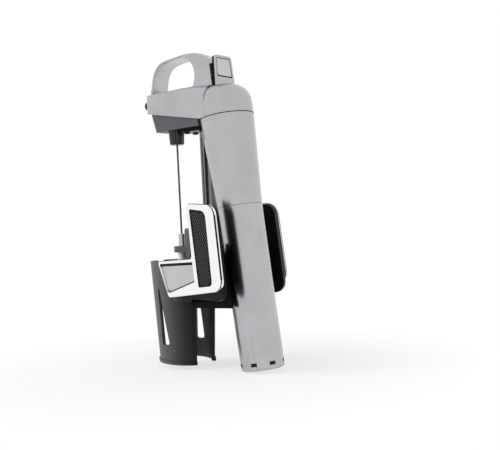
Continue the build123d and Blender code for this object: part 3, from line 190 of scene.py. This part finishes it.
def jaw_nylon_with_painted_shade():
    """The jaws: a grey matt sleeve that runs into the smooth black of the wing's back, the fade partly
    painted shade.
    """
    finish, tree, out = new_finish("jaw_nylon_matt_smooth_and_painted_shade")
    place = add(tree, "ShaderNodeTexCoord").outputs["Object"]
    axes = add(tree, "ShaderNodeSeparateXYZ", Vector=place)
    cloud = add(tree, "ShaderNodeTexNoise", Vector=place, Scale=per_mm(MOULD_CLOUD), Detail=4.0)
    pebble = add(tree, "ShaderNodeTexVoronoi", Vector=place, Scale=per_mm(PEBBLE))
    # the two grades of nylon meet here, and the smooth darkening towards the rear, away from the key lamp, is
    # painted shade
    rear = add(tree, "ShaderNodeMapRange", {"interpolation_type": "SMOOTHSTEP"}, Value=axes.outputs["Y"],
               From_Min=SLEEVE_REAR_Y * MM, From_Max=WING_BACK_Y * MM)
    sleeve = add(tree, "ShaderNodeMix", {"data_type": "RGBA"}, _0=cloud.outputs["Fac"], _6=srgb("#474948"),
                 _7=srgb("#505251"))
    tone = add(tree, "ShaderNodeMix", {"data_type": "RGBA"}, _0=rear.outputs[0], _6=sleeve.outputs[2],
               _7=srgb("#070808"))
    gloss = add(tree, "ShaderNodeMapRange", Value=rear.outputs[0], To_Min=0.52, To_Max=0.38)
    sheen = add(tree, "ShaderNodeMapRange", Value=rear.outputs[0], To_Min=0.3, To_Max=0.12)
    bump = add(tree, "ShaderNodeBump", Strength=0.1, Distance=PEBBLE_DEPTH, Height=pebble.outputs["Distance"])
    shader = add(tree, "ShaderNodeBsdfPrincipled", Base_Color=tone.outputs[2], Roughness=gloss.outputs[0],
                 IOR=1.53, Specular_IOR_Level=sheen.outputs[0], Normal=bump.outputs[0])
    tree.links.new(shader.outputs[0], out.inputs[0])
    return finish


def cover_nylon():
    """The head's under cover: dark grey and matt, with its downward faces, where the needle comes out,
    painted near black as shade.
    """
    finish, tree, out = new_finish("cover_nylon_grey_with_painted_shade_below")
    coords = add(tree, "ShaderNodeTexCoord")
    place = coords.outputs["Object"]
    facing = add(tree, "ShaderNodeSeparateXYZ", Vector=coords.outputs["Normal"])
    # painted shade: faces that look down go near black
    below = add(tree, "ShaderNodeMapRange", Value=facing.outputs["Z"], From_Min=-0.8, From_Max=-0.95)
    cloud = add(tree, "ShaderNodeTexNoise", Vector=place, Scale=per_mm(12), Detail=4.0)
    pebble = add(tree, "ShaderNodeTexVoronoi", Vector=place, Scale=per_mm(PEBBLE))
    wall = add(tree, "ShaderNodeMix", {"data_type": "RGBA"}, _0=cloud.outputs["Fac"], _6=srgb("#3f4144"),
               _7=srgb("#484b4d"))
    tone = add(tree, "ShaderNodeMix", {"data_type": "RGBA"}, _0=below.outputs[0], _6=wall.outputs[2],
               _7=srgb("#0d0e0e"))
    gloss = add(tree, "ShaderNodeMapRange", Value=cloud.outputs["Fac"], To_Min=0.4, To_Max=0.5)
    bump = add(tree, "ShaderNodeBump", Strength=0.1, Distance=PEBBLE_DEPTH, Height=pebble.outputs["Distance"])
    shader = add(tree, "ShaderNodeBsdfPrincipled", Base_Color=tone.outputs[2], Roughness=gloss.outputs[0],
                 IOR=1.53, Specular_IOR_Level=0.4, Normal=bump.outputs[0])
    tree.links.new(shader.outputs[0], out.inputs[0])
    return finish


def gloss_moulding():
    """Black acetal from a polished mould: deep and shiny, with hardly visible flow marks of about 4 mm."""
    finish, tree, out = new_finish("gloss_black_acetal")
    place = add(tree, "ShaderNodeTexCoord").outputs["Object"]
    flow = add(tree, "ShaderNodeTexNoise", Vector=place, Scale=per_mm(4), Detail=3.0)
    tone = add(tree, "ShaderNodeMix", {"data_type": "RGBA"}, _0=flow.outputs["Fac"], _6=srgb("#0c0d0e"),
               _7=srgb("#141516"))
    gloss = add(tree, "ShaderNodeMapRange", Value=flow.outputs["Fac"], To_Min=0.14, To_Max=0.24)
    shader = add(tree, "ShaderNodeBsdfPrincipled", Base_Color=tone.outputs[2], Roughness=gloss.outputs[0],
                 IOR=1.48)
    tree.links.new(shader.outputs[0], out.inputs[0])
    return finish


def knurled_rubber():
    """Grip pad: dusty grey tips as painted highlight over dark valleys as painted shade, so that the diamond
    rows read from afar.

    A surface that faces straight out of the wing is a tip, and all that slopes away is valley.
    """
    finish, tree, out = new_finish("knurled_grip_rubber")
    coords = add(tree, "ShaderNodeTexCoord")
    facing = add(tree, "ShaderNodeSeparateXYZ", Vector=coords.outputs["Normal"])
    across = add(tree, "ShaderNodeMath", {"operation": "ABSOLUTE"}, _0=facing.outputs["X"])
    outward = add(tree, "ShaderNodeMath", {"operation": "MULTIPLY_ADD"}, _0=facing.outputs["Y"],
                  _1=-math.tan(WING_TURN), _2=across.outputs[0])
    # painted light: faces that look straight out of the wing are painted lighter, and all slopes darker as
    # shade
    tip = add(tree, "ShaderNodeMapRange", Value=outward.outputs[0], From_Min=0.86, From_Max=1.0)
    dust = add(tree, "ShaderNodeTexNoise", Vector=coords.outputs["Object"], Scale=per_mm(DUST), Detail=5.0)
    dust_and_painted_highlight = add(tree, "ShaderNodeMix", {"data_type": "RGBA"}, _0=dust.outputs["Fac"], _6=srgb("#4a4a4c"),
               _7=srgb("#575759"))
    tone = add(tree, "ShaderNodeMix", {"data_type": "RGBA"}, _0=tip.outputs[0], _6=srgb("#222223"),
               _7=dust_and_painted_highlight.outputs[2])
    gloss = add(tree, "ShaderNodeMapRange", Value=dust.outputs["Fac"], To_Min=0.5, To_Max=0.68)
    shader = add(tree, "ShaderNodeBsdfPrincipled", Base_Color=tone.outputs[2], Roughness=gloss.outputs[0],
                 IOR=1.45, Specular_IOR_Level=0.3)
    tree.links.new(shader.outputs[0], out.inputs[0])
    return finish


def dull_moulding(name, light, dark, rough, specular=0.5):
    """Moulded rubber, silicone or unpolished acetal: dull, slightly dusty."""
    finish, tree, out = new_finish(name)
    place = add(tree, "ShaderNodeTexCoord").outputs["Object"]
    dust = add(tree, "ShaderNodeTexNoise", Vector=place, Scale=per_mm(DUST), Detail=5.0)
    tone = add(tree, "ShaderNodeMix", {"data_type": "RGBA"}, _0=dust.outputs["Fac"], _6=srgb(dark),
               _7=srgb(light))
    gloss = add(tree, "ShaderNodeMapRange", Value=dust.outputs["Fac"], To_Min=rough - 0.1,
                To_Max=rough + 0.08)
    bump = add(tree, "ShaderNodeBump", Strength=0.06, Distance=0.05 * MM, Height=dust.outputs["Fac"])
    shader = add(tree, "ShaderNodeBsdfPrincipled", Base_Color=tone.outputs[2], Roughness=gloss.outputs[0],
                 IOR=1.45, Specular_IOR_Level=specular, Normal=bump.outputs[0])
    tree.links.new(shader.outputs[0], out.inputs[0])
    return finish


def turned_metal(name, light, dark, rough, line=DRAWN_LINE):
    """Drawn or turned bar: fine lines up the piece, in tone and gloss."""
    finish, tree, out = new_finish(name)
    place = add(tree, "ShaderNodeTexCoord").outputs["Object"]
    drawn = add(tree, "ShaderNodeMapping", Vector=place, Scale=(1, 1, LINE_STRETCH))
    lines = add(tree, "ShaderNodeTexNoise", Vector=drawn.outputs[0], Scale=per_mm(line), Detail=3.0)
    tone = add(tree, "ShaderNodeMix", {"data_type": "RGBA"}, _0=lines.outputs["Fac"], _6=srgb(dark),
               _7=srgb(light))
    gloss = add(tree, "ShaderNodeMapRange", Value=lines.outputs["Fac"], To_Min=rough - 0.05,
                To_Max=rough + 0.05)
    shader = add(tree, "ShaderNodeBsdfPrincipled", Base_Color=tone.outputs[2], Metallic=1.0,
                 Roughness=gloss.outputs[0])
    tree.links.new(shader.outputs[0], out.inputs[0])
    return finish


def rail_metal():
    """Dark anodised rail with drawn lines, and nearly black on the foot plate under the head."""
    finish, tree, out = new_finish("dark_anodised_rail")
    place = add(tree, "ShaderNodeTexCoord").outputs["Object"]
    height = add(tree, "ShaderNodeSeparateXYZ", Vector=place)
    drawn = add(tree, "ShaderNodeMapping", Vector=place, Scale=(1, 1, LINE_STRETCH))
    lines = add(tree, "ShaderNodeTexNoise", Vector=drawn.outputs[0], Scale=per_mm(DRAWN_LINE), Detail=3.0)
    bar = add(tree, "ShaderNodeMix", {"data_type": "RGBA"}, _0=lines.outputs["Fac"], _6=srgb("#6f7173"),
              _7=srgb("#828486"))
    low, high = RAIL_PLATE_Z
    plate = add(tree, "ShaderNodeMapRange", Value=height.outputs["Z"], From_Min=low * MM, From_Max=high * MM)
    tone = add(tree, "ShaderNodeMix", {"data_type": "RGBA"}, _0=plate.outputs[0], _6=bar.outputs[2],
               _7=srgb("#1d1e20"))
    gloss = add(tree, "ShaderNodeMapRange", Value=lines.outputs["Fac"], To_Min=0.27, To_Max=0.37)
    shader = add(tree, "ShaderNodeBsdfPrincipled", Base_Color=tone.outputs[2], Metallic=1.0,
                 Roughness=gloss.outputs[0])
    tree.links.new(shader.outputs[0], out.inputs[0])
    return finish


def make_finishes():
    """Finishes by the record's slots, and a few that single nodes and the trim take."""
    return {
        "satin_silver": satin_anodised_aluminium("satin_anodised_aluminium", "#bcbdbf", "#adaeb0", 0.25),
        "inlay_silver": satin_anodised_aluminium("fine_blasted_aluminium", "#c8c8c8", "#bcbcbc", 0.3),
        "bright_chrome": polished_chrome(),
        "black_nylon": moulded_nylon("black_glass_filled_nylon", "#0b0c0c", "#080808", 0.5, 0.08),
        "grey_nylon": moulded_nylon("grey_glass_filled_nylon", "#595b5a", "#4d4f4e", 0.5, 0.4),
        "black_cover": cover_nylon(),
        "gloss_black": gloss_moulding(),
        "grip_rubber": dull_moulding("grip_rubber", "#0c0c0d", "#080809", 0.7, 0.2),
        "knurl_rubber": knurled_rubber(),
        "soft_rubber": dull_moulding("plain_black_rubber", "#161617", "#0e0e0f", 0.7, 0.3),
        "clear_silicone": dull_moulding("milky_silicone", "#dfe2e2", "#d2d5d5", 0.35),
        "white_acetal": dull_moulding("white_acetal", "#f1f0ee", "#e6e5e2", 0.35),
        "steel": turned_metal("stainless_steel_bar", "#c4c4c3", "#a8a8a7", 0.25),
        # the needle is too thin for lines: its tone only drifts along it
        "needle_steel": turned_metal("dark_needle_steel", "#545457", "#4a4a4d", 0.28, line=4.0),
        "rail_metal": rail_metal(),
        "anodised": satin_anodised_aluminium("plain_anodised_aluminium", "#b8b9bb", "#aaacae", 0.35),
        "brass": turned_metal("turned_brass", "#d0ac66", "#bd9a54", 0.28),
        "capsule_steel": turned_metal("drawn_capsule_steel", "#b4b5b6", "#9c9d9e", 0.3),
        "dark_steel": turned_metal("blackened_screw_steel", "#333436", "#232425", 0.35),
        "jaw_nylon": jaw_nylon_with_painted_shade(),
    }


# nodes that look different from the rest of their slot
OWN_FINISH = {"jaw_right": "jaw_nylon", "jaw_left": "jaw_nylon", "rail_screws": "dark_steel",
              "needle_guide": "grey_nylon", "spout": "bright_chrome"}


def dress_nodes(finishes):
    """Gives each node its finish."""
    for part in frame["record"]["subparts"]:
        node = NODES[part["node"]]
        node.data.materials.clear()
        node.data.materials.append(finishes[OWN_FINISH.get(part["node"], part["material_slot"])])


# ------------------------------------------------------------------ from millimetres to the frame
def on_wing(side):
    """Millimetres to the rear, up and out on the wing's face, as a point in metres."""
    def place(along, up, out):
        x = WING_X + along * math.sin(WING_TURN) + out * math.cos(WING_TURN)
        y = WING_Y + along * math.cos(WING_TURN) - out * math.sin(WING_TURN)
        return Vector((side * x, y, up)) * MM
    return place


def on_trigger(across, up, out):
    """Millimetres across, up and out on the trigger's rear face, as a point in metres."""
    lean = math.atan2(-TRIGGER_FORWARD, TRIGGER_H)
    y = TRIGGER_FOOT_Y + up * math.sin(lean) + out * math.cos(lean)
    z = HEAD_TOP + up * math.cos(lean) - out * math.sin(lean)
    return Vector((across, y, z)) * MM


def on_housing(turn, radius, along):
    """A point round the gas housing's axis, along counted up from the seam, in metres."""
    x, back = radius * math.cos(turn), radius * math.sin(turn)
    y = SEAM_Y + back * math.cos(TILT) - along * math.sin(TILT)
    z = SEAM_Z + back * math.sin(TILT) + along * math.cos(TILT)
    return Vector((x, y, z)) * MM


# ------------------------------------------------------------------ meshes
ROUND_STEPS = 5         # of an outline's rounded corner
RING_STEPS = 96         # of a ring round the housing, and of the floor


def piece(name, body, finish, points, faces):
    """A mesh piece that rides on a body."""
    mesh = bpy.data.meshes.new(name)
    mesh.from_pydata([tuple(point) for point in points], [], faces)
    mesh.update()
    made = bpy.data.objects.new(name, mesh)
    bpy.context.scene.collection.objects.link(made)
    mesh.materials.append(finish)
    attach(made, body)
    return made


def skin(rows, stations, closed=True, first=0):
    """Faces round a bar of that many stations with rows points each: a ring, or open with two end caps."""
    faces = []
    for k in range(stations if closed else stations - 1):
        near, far = first + k * rows, first + (k + 1) % stations * rows
        faces += [(near + row, far + row, far + (row + 1) % rows, near + (row + 1) % rows)
                  for row in range(rows)]
    if not closed:
        last = first + (stations - 1) * rows
        faces += [tuple(first + row for row in reversed(range(rows))),
                  tuple(last + row for row in range(rows))]
    return faces


def softened(corners):
    """Outline points from (x, y, radius) corners, each corner turned in a few steps."""
    outline = []
    for k, (x, y, radius) in enumerate(corners):
        here = Vector((x, y))
        before = (Vector(corners[k - 1][:2]) - here).normalized()
        after = (Vector(corners[(k + 1) % len(corners)][:2]) - here).normalized()
        half = before.angle(after) / 2
        reach = radius / math.tan(half)
        centre = here + (before + after).normalized() * (radius / math.sin(half))
        start, end = here + before * reach - centre, here + after * reach - centre
        for step in range(ROUND_STEPS + 1):
            share = step / ROUND_STEPS
            spoke = (start * (1 - share) + end * share).normalized() * radius
            outline.append(centre + spoke)
    return outline


def lip(name, body, finish, outline, place, width, low, high, closed=True):
    """A thin bead of rubber that follows an outline, width to its inner side, with bevelled top edges."""
    edge = min(width * 0.3, (high - low) * 0.5)
    section = ((0, low), (0, high - edge), (edge, high), (width - edge, high), (width, high - edge),
               (width, low))
    count, points = len(outline), []
    for k, at in enumerate(outline):
        before = outline[k - 1] if closed or k else at
        after = outline[(k + 1) % count] if closed or k < count - 1 else at
        along = (after - before).normalized()
        inward = Vector((-along.y, along.x))
        for across, out in section:
            spot = at + inward * across
            points.append(place(spot.x, spot.y, out))
    return piece(name, body, finish, points, skin(len(section), count, closed))


def inside(outline, x, y, margin):
    """True where (x, y) lies inside the outline, at least margin from it."""
    within, nearest = False, math.inf
    spot = Vector((x, y))
    for k, a in enumerate(outline):
        b = outline[(k + 1) % len(outline)]
        if (a.y > y) != (b.y > y) and x < (b.x - a.x) * (y - a.y) / (b.y - a.y) + a.x:
            within = not within
        run = b - a
        share = max(0.0, min(1.0, (spot - a).dot(run) / max(run.length_squared, 1e-12)))
        nearest = min(nearest, (spot - a - run * share).length)
    return within and nearest > margin


# ------------------------------------------------------------------ trim of the wings
KNURL_PITCH = 2.6               # about 1.7 mm in life, drawn coarser so that the rows show in the render
KNURL_HEIGHT, KNURL_ROOT = 0.42, 0.03      # a point's tip above the pad's face, and its foot below it
KNURL_FOOT_SHARE = 0.84         # of the pitch
KNURL_TIP_SHARE = 0.55          # of the foot
KNURL_MARGIN = 1.45             # from a point's middle to the pad's outline
KNURL_LOW, KNURL_TALL = -17, 60            # field of points, which goes past the pad on all sides
KNURL_FRONT, KNURL_COLUMNS = 42, 20
KNURL_LEAN = 0.085              # the rows lean with the pad's long edge
TOE_SLOT = ((6.0, -0.12), (44.6, 1.27))
TOE_LINE = ((12.9, -18.9), (14.3, -19.5), (16.2, -19.9), (30.8, -15.8), (44.6, -11.9), (45.9, -11.2),
            (45.9, -13.4))


def knurl(side_name, side, finish):
    """Small four-sided points on the grip pad, in diamond rows that follow its long edge."""
    place, outline, top = on_wing(side), softened(PAD_CORNERS), PAD_CORNERS[0][1]
    foot = KNURL_PITCH / 2 * KNURL_FOOT_SHARE
    points, faces = [], []
    for row in range(int(KNURL_TALL / (KNURL_PITCH / 2))):
        up = KNURL_LOW + row * KNURL_PITCH / 2
        for column in range(KNURL_COLUMNS):
            along = KNURL_FRONT + (column + row % 2 / 2) * KNURL_PITCH + (top - up) * KNURL_LEAN
            if not inside(outline, along, up, KNURL_MARGIN):
                continue
            first = len(points)
            for reach, out in ((foot, -KNURL_ROOT), (foot * KNURL_TIP_SHARE, KNURL_HEIGHT)):
                points += [place(along + x * reach, up + y * reach, out - PAD_SINK)
                           for x, y in ((1, 0), (0, 1), (-1, 0), (0, -1))]
            faces.append((first + 4, first + 5, first + 6, first + 7))
            for k in range(4):
                after = (k + 1) % 4
                faces.append((first + k, first + after, first + 4 + after, first + 4 + k))
    return piece("grip_knurl_" + side_name, "jaw_" + side_name, finish, points, faces)


def wing_trim(side_name, side, finishes):
    """Grip pad's knurl and a dark line round it as painted shadow, toe plate's dark slot and lower line, and
    a dark bead round the frame's back as painted reflection.
    """
    body, rubber, place = "jaw_" + side_name, finishes["soft_rubber"], on_wing(side)
    knurl(side_name, side, finishes["knurl_rubber"])
    pad = softened(PAD_CORNERS)[::-1]
    # painted shadow: a dark line between the frame and the pad
    lip("pad_painted_shadow_" + side_name, body, rubber, pad, place, width=0.75, low=-0.6, high=-0.28)
    slot, line = ([Vector(at) for at in route] for route in (TOE_SLOT, TOE_LINE))
    lip("toe_slot_" + side_name, body, rubber, slot, place, width=1.05, low=-1.9, high=-0.75, closed=False)
    lip("toe_line_" + side_name, body, rubber, line, place, width=0.85, low=-1.5, high=-1.0, closed=False)
    # painted reflection: a dark bead for the dark line that the chrome's rounded edge reflects
    edge = softened(FRAME_CORNERS)
    lip("frame_painted_reflection_" + side_name, body, rubber, edge, place, width=0.9, low=-2.0, high=-0.62)


# ------------------------------------------------------------------ trim of the trigger
PANEL_LOW = 5.75                            # panel's foot above the head
PANEL_MARGIN = 1.95                         # from its other edges to the trigger's
PANEL_FOOT_R, PANEL_TOP_R = 1.9, 1.1


def trigger_trim(finish):
    """Dark rubber line round the trigger's panel, broader along its foot: painted shade in the gap round the
    panel.
    """
    taper = (TRIGGER_FOOT_HALF - TRIGGER_TOP_HALF) / TRIGGER_H
    low, high = PANEL_LOW, TRIGGER_H - PANEL_MARGIN
    half_low, half_high = (TRIGGER_FOOT_HALF - taper * up - PANEL_MARGIN for up in (low, high))
    foot_corners = ((-half_low, low, PANEL_FOOT_R), (half_low, low, PANEL_FOOT_R))
    ring = softened((*foot_corners, (half_high, high, PANEL_TOP_R), (-half_high, high, PANEL_TOP_R)))
    # painted shade round the panel's edges, and more of it along the foot
    lip("panel_line", "trigger", finish, ring, on_trigger, width=0.5, low=-0.3, high=0.08)
    # the lower corners again, on a square-cornered outline that is cut off above them
    foot = softened((*foot_corners, (half_low, low + 6, 1.0), (-half_low, low + 6, 1.0)))
    sole = sorted((at for at in foot if at.y < low + 1.6), key=lambda at: at.x)
    lip("panel_foot_line", "trigger", finish, sole, on_trigger, width=1.0, low=-0.3, high=0.1, closed=False)


# ------------------------------------------------------------------ trim of the gas housing
def seam_ring(name, finish, section):
    """Dark ring in an open line of the gas housing, from its (radius, along) section: painted shade in the
    seam.
    """
    points = []
    for k in range(RING_STEPS):
        turn = 2 * math.pi * k / RING_STEPS
        points += [on_housing(turn, radius, along) for radius, along in section]
    return piece(name, "head", finish, points, skin(len(section), RING_STEPS))


def head_seam_shade(finish):
    """Dark ring between the head and the upper body, with a lip just proud of the shell: painted shade of the
    seam.
    """
    inner, shell, proud = 17.95, 20.24, 20.34
    low, high = UPPER_L + 0.02, UPPER_L + 0.28
    seam_ring("head_seam_painted_shade", finish,
              ((inner, low), (shell, low), (shell, UPPER_L - 0.18), (proud, UPPER_L - 0.12),
               (proud, UPPER_L + 0.42), (shell, UPPER_L + 0.48), (shell, high), (inner, high)))


def cup_seam_shade(finish):
    """Dark ring between the cup and the upper body, inside their open line, with a slightly rounded rim:
    painted shade of the seam.
    """
    inner, side, rim = 14.95, 16.55, 16.6
    low, high = -0.22, -0.02
    seam_ring("cup_seam_painted_shade", finish,
              ((inner, low), (side, low), (rim, (low + high) / 2), (side, high), (inner, high)))


NOTCHES, NOTCH_HALF_TURN, NOTCH_STEPS = 7, 8.6, 4      # the half turn in degrees
NOTCH_FLOOR_RADII = (14.3, 14.75)
NOTCH_FOOT, NOTCH_TOP = -CUP_L + 3.45, -CUP_L + 5.95


def notch_floors(finish):
    """Dark floors in the small notches at the cup's foot: painted shade in the recesses."""
    inner, outer = NOTCH_FLOOR_RADII
    section = ((inner, NOTCH_FOOT), (outer, NOTCH_FOOT), (outer, NOTCH_TOP), (inner, NOTCH_TOP))
    points, faces = [], []
    for k in range(NOTCHES):
        middle = math.radians(90 + (k + 0.5) * 360 / NOTCHES)
        faces += skin(len(section), NOTCH_STEPS + 1, closed=False, first=len(points))
        for step in range(NOTCH_STEPS + 1):
            turn = middle + math.radians(NOTCH_HALF_TURN * (2 * step / NOTCH_STEPS - 1))
            points += [on_housing(turn, radius, along) for radius, along in section]
    return piece("cup_notch_painted_shade", "cup", finish, points, faces)


def valve_coil(finish):
    """The valve's spring as a real coil, in place of its plain sleeve."""
    sleeve = NODES["valve_spring"]
    xs, ys, zs = zip(*(sleeve.matrix_world @ Vector(corner) for corner in sleeve.bound_box))
    low, high = min(zs), max(zs)
    foot = Vector(((min(xs) + max(xs)) / 2, (min(ys) + max(ys)) / 2, low))
    wire_r, turns, per_turn, sides = 0.25 * MM, 4, 24, 8
    clear = 1.1 * wire_r        # from the wire's middle to the sleeve's end
    radius, rise = (max(xs) - min(xs)) / 2 - wire_r, high - low - 2 * clear
    points = []
    for step in range(turns * per_turn + 1):
        turn = 2 * math.pi * step / per_turn
        height = clear + rise * step / (turns * per_turn)
        for side in range(sides):
            round_wire = 2 * math.pi * side / sides
            reach = radius + wire_r * math.cos(round_wire)
            points.append(foot + Vector((reach * math.cos(turn), reach * math.sin(turn),
                                         height + wire_r * math.sin(round_wire))))
    faces = skin(sides, turns * per_turn + 1, closed=False)
    coil = piece("valve_coil", "head", finish, points, faces)
    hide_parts("valve_spring")
    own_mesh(coil)


# ------------------------------------------------------------------ studio
STAGE_MIDDLE = (0, 0.03, 0.04)          # what the lamps look at, and the floor's middle in plan
FLOOR_R = 0.42
FLOOR_FADE = (0.1, 0.24)                # from the frame's origin; beyond it the floor is the white room


def background_rays(tree):
    """1 for the rays that show the background: straight from the camera, reflected, or through glass."""
    rays = add(tree, "ShaderNodeLightPath")
    mirrored = add(tree, "ShaderNodeMath", {"operation": "MAXIMUM"}, _0=rays.outputs["Is Glossy Ray"],
                   _1=rays.outputs["Is Transmission Ray"])
    return add(tree, "ShaderNodeMath", {"operation": "MAXIMUM"}, _0=rays.outputs["Is Camera Ray"],
               _1=mirrored.outputs[0]).outputs[0]


def studio_world():
    """Plain white wherever the background shows, in metal too, and a soft even light on everything."""
    world = bpy.data.worlds.new("studio")
    bpy.context.scene.world = world
    world.use_nodes = True
    tree = world.node_tree
    tree.nodes.clear()
    out = tree.nodes.new("ShaderNodeOutputWorld")
    soft = add(tree, "ShaderNodeBackground", Color=srgb("#ffffff"), Strength=0.24)
    white = add(tree, "ShaderNodeBackground", Color=srgb("#ffffff"), Strength=1.0)
    mixed = add(tree, "ShaderNodeMixShader", _0=background_rays(tree), _1=soft.outputs[0],
                _2=white.outputs[0])
    tree.links.new(mixed.outputs[0], out.inputs[0])


def floor_paper():
    """Matt white paper that fades into the white room and keeps the object's shadow.

    The camera looks through most of it, so that a head pushed down or a cup taken off stays in sight.
    From below it is open, so that what is lowered past it has the room's light too.
    """
    finish, tree, out = new_finish("matt_floor_paper")
    paper = add(tree, "ShaderNodeBsdfDiffuse", Color=srgb("#e7e7e7"))
    clear = add(tree, "ShaderNodeBsdfTransparent", Color=srgb("#ffffff"))
    reach = add(tree, "ShaderNodeVectorMath", {"operation": "LENGTH"},
                _0=add(tree, "ShaderNodeTexCoord").outputs["Object"])
    fade = add(tree, "ShaderNodeMapRange", Value=reach.outputs["Value"], From_Min=FLOOR_FADE[0],
               From_Max=FLOOR_FADE[1], To_Min=0.7, To_Max=1.0)
    seen = add(tree, "ShaderNodeMath", {"operation": "MULTIPLY"}, _0=background_rays(tree),
               _1=fade.outputs[0])
    share = add(tree, "ShaderNodeMath", {"operation": "MAXIMUM"}, _0=seen.outputs[0],
                _1=add(tree, "ShaderNodeNewGeometry").outputs["Backfacing"])
    mixed = add(tree, "ShaderNodeMixShader", _0=share.outputs[0], _1=paper.outputs[0], _2=clear.outputs[0])
    tree.links.new(mixed.outputs[0], out.inputs[0])
    return finish


def studio_floor():
    """Pale floor disc at the object's lowest point."""
    low, mesh = CAD_BOX[0][2], bpy.data.meshes.new("studio_floor")
    turns = [2 * math.pi * k / RING_STEPS for k in range(RING_STEPS)]
    ring = [(FLOOR_R * math.cos(turn), STAGE_MIDDLE[1] + FLOOR_R * math.sin(turn), low) for turn in turns]
    mesh.from_pydata(ring, [], [tuple(range(RING_STEPS))])
    floor = bpy.data.objects.new("studio_floor", mesh)
    bpy.context.scene.collection.objects.link(floor)
    mesh.materials.append(floor_paper())


def softbox(name, turn, rise, distance, width, height, watts):
    """Area lamp that looks at the middle of the object from turn degrees round and rise degrees up."""
    way = Vector((math.cos(math.radians(turn)) * math.cos(math.radians(rise)),
                  math.sin(math.radians(turn)) * math.cos(math.radians(rise)), math.sin(math.radians(rise))))
    data = bpy.data.lights.new(name, "AREA")
    data.shape = "RECTANGLE"
    data.size, data.size_y = width, height
    data.energy = watts
    lamp = bpy.data.objects.new(name, data)
    lamp.location = Vector(STAGE_MIDDLE) + way * distance
    lamp.rotation_euler = way.to_track_quat("Z", "Y").to_euler()
    # hidden in reflections, so that metal shows the plain white background
    lamp.visible_glossy = False
    bpy.context.scene.collection.objects.link(lamp)


CAMERA_EYE = Vector((0.516, 0.448, 0.027))
CAMERA_LOOK = Vector((-0.804, -0.595, 0))
CAMERA_ROLL = math.radians(-2.9)
FOCAL_PX, PHOTO_WIDTH_PX, SENSOR_MM = 880, 500, 36.0


def camera():
    """The photograph's viewpoint, fitted to the object's vertical needle and tilted housing."""
    data = bpy.data.cameras.new("camera")
    data.sensor_width = SENSOR_MM
    data.lens = SENSOR_MM * FOCAL_PX / PHOTO_WIDTH_PX
    look = CAMERA_LOOK.normalized()
    right = look.cross(Vector((0, 0, 1)))
    up = right.cross(look)
    right_rolled = right * math.cos(CAMERA_ROLL) + up * math.sin(CAMERA_ROLL)
    up_rolled = up * math.cos(CAMERA_ROLL) - right * math.sin(CAMERA_ROLL)
    cam = bpy.data.objects.new("camera", data)
    turn = Matrix((right_rolled, up_rolled, -look)).transposed()
    cam.matrix_world = Matrix.Translation(CAMERA_EYE) @ turn.to_4x4()
    bpy.context.scene.collection.objects.link(cam)
    bpy.context.scene.camera = cam


# ------------------------------------------------------------------ scene
bpy.context.scene.view_settings.view_transform = "Standard"
camera()
FINISHES = make_finishes()
dress_nodes(FINISHES)
for SIDE_NAME, SIDE in (("right", 1), ("left", -1)):
    wing_trim(SIDE_NAME, SIDE, FINISHES)
trigger_trim(FINISHES["soft_rubber"])
head_seam_shade(FINISHES["soft_rubber"])
cup_seam_shade(FINISHES["soft_rubber"])
notch_floors(FINISHES["soft_rubber"])
valve_coil(FINISHES["steel"])
studio_world()
studio_floor()
softbox("key_left", turn=-48, rise=16, distance=0.9, width=0.4, height=0.9, watts=10.0)
softbox("top", turn=20, rise=75, distance=0.9, width=0.7, height=0.7, watts=3.0)
softbox("fill_right", turn=125, rise=15, distance=1.2, width=0.6, height=0.9, watts=0.8)
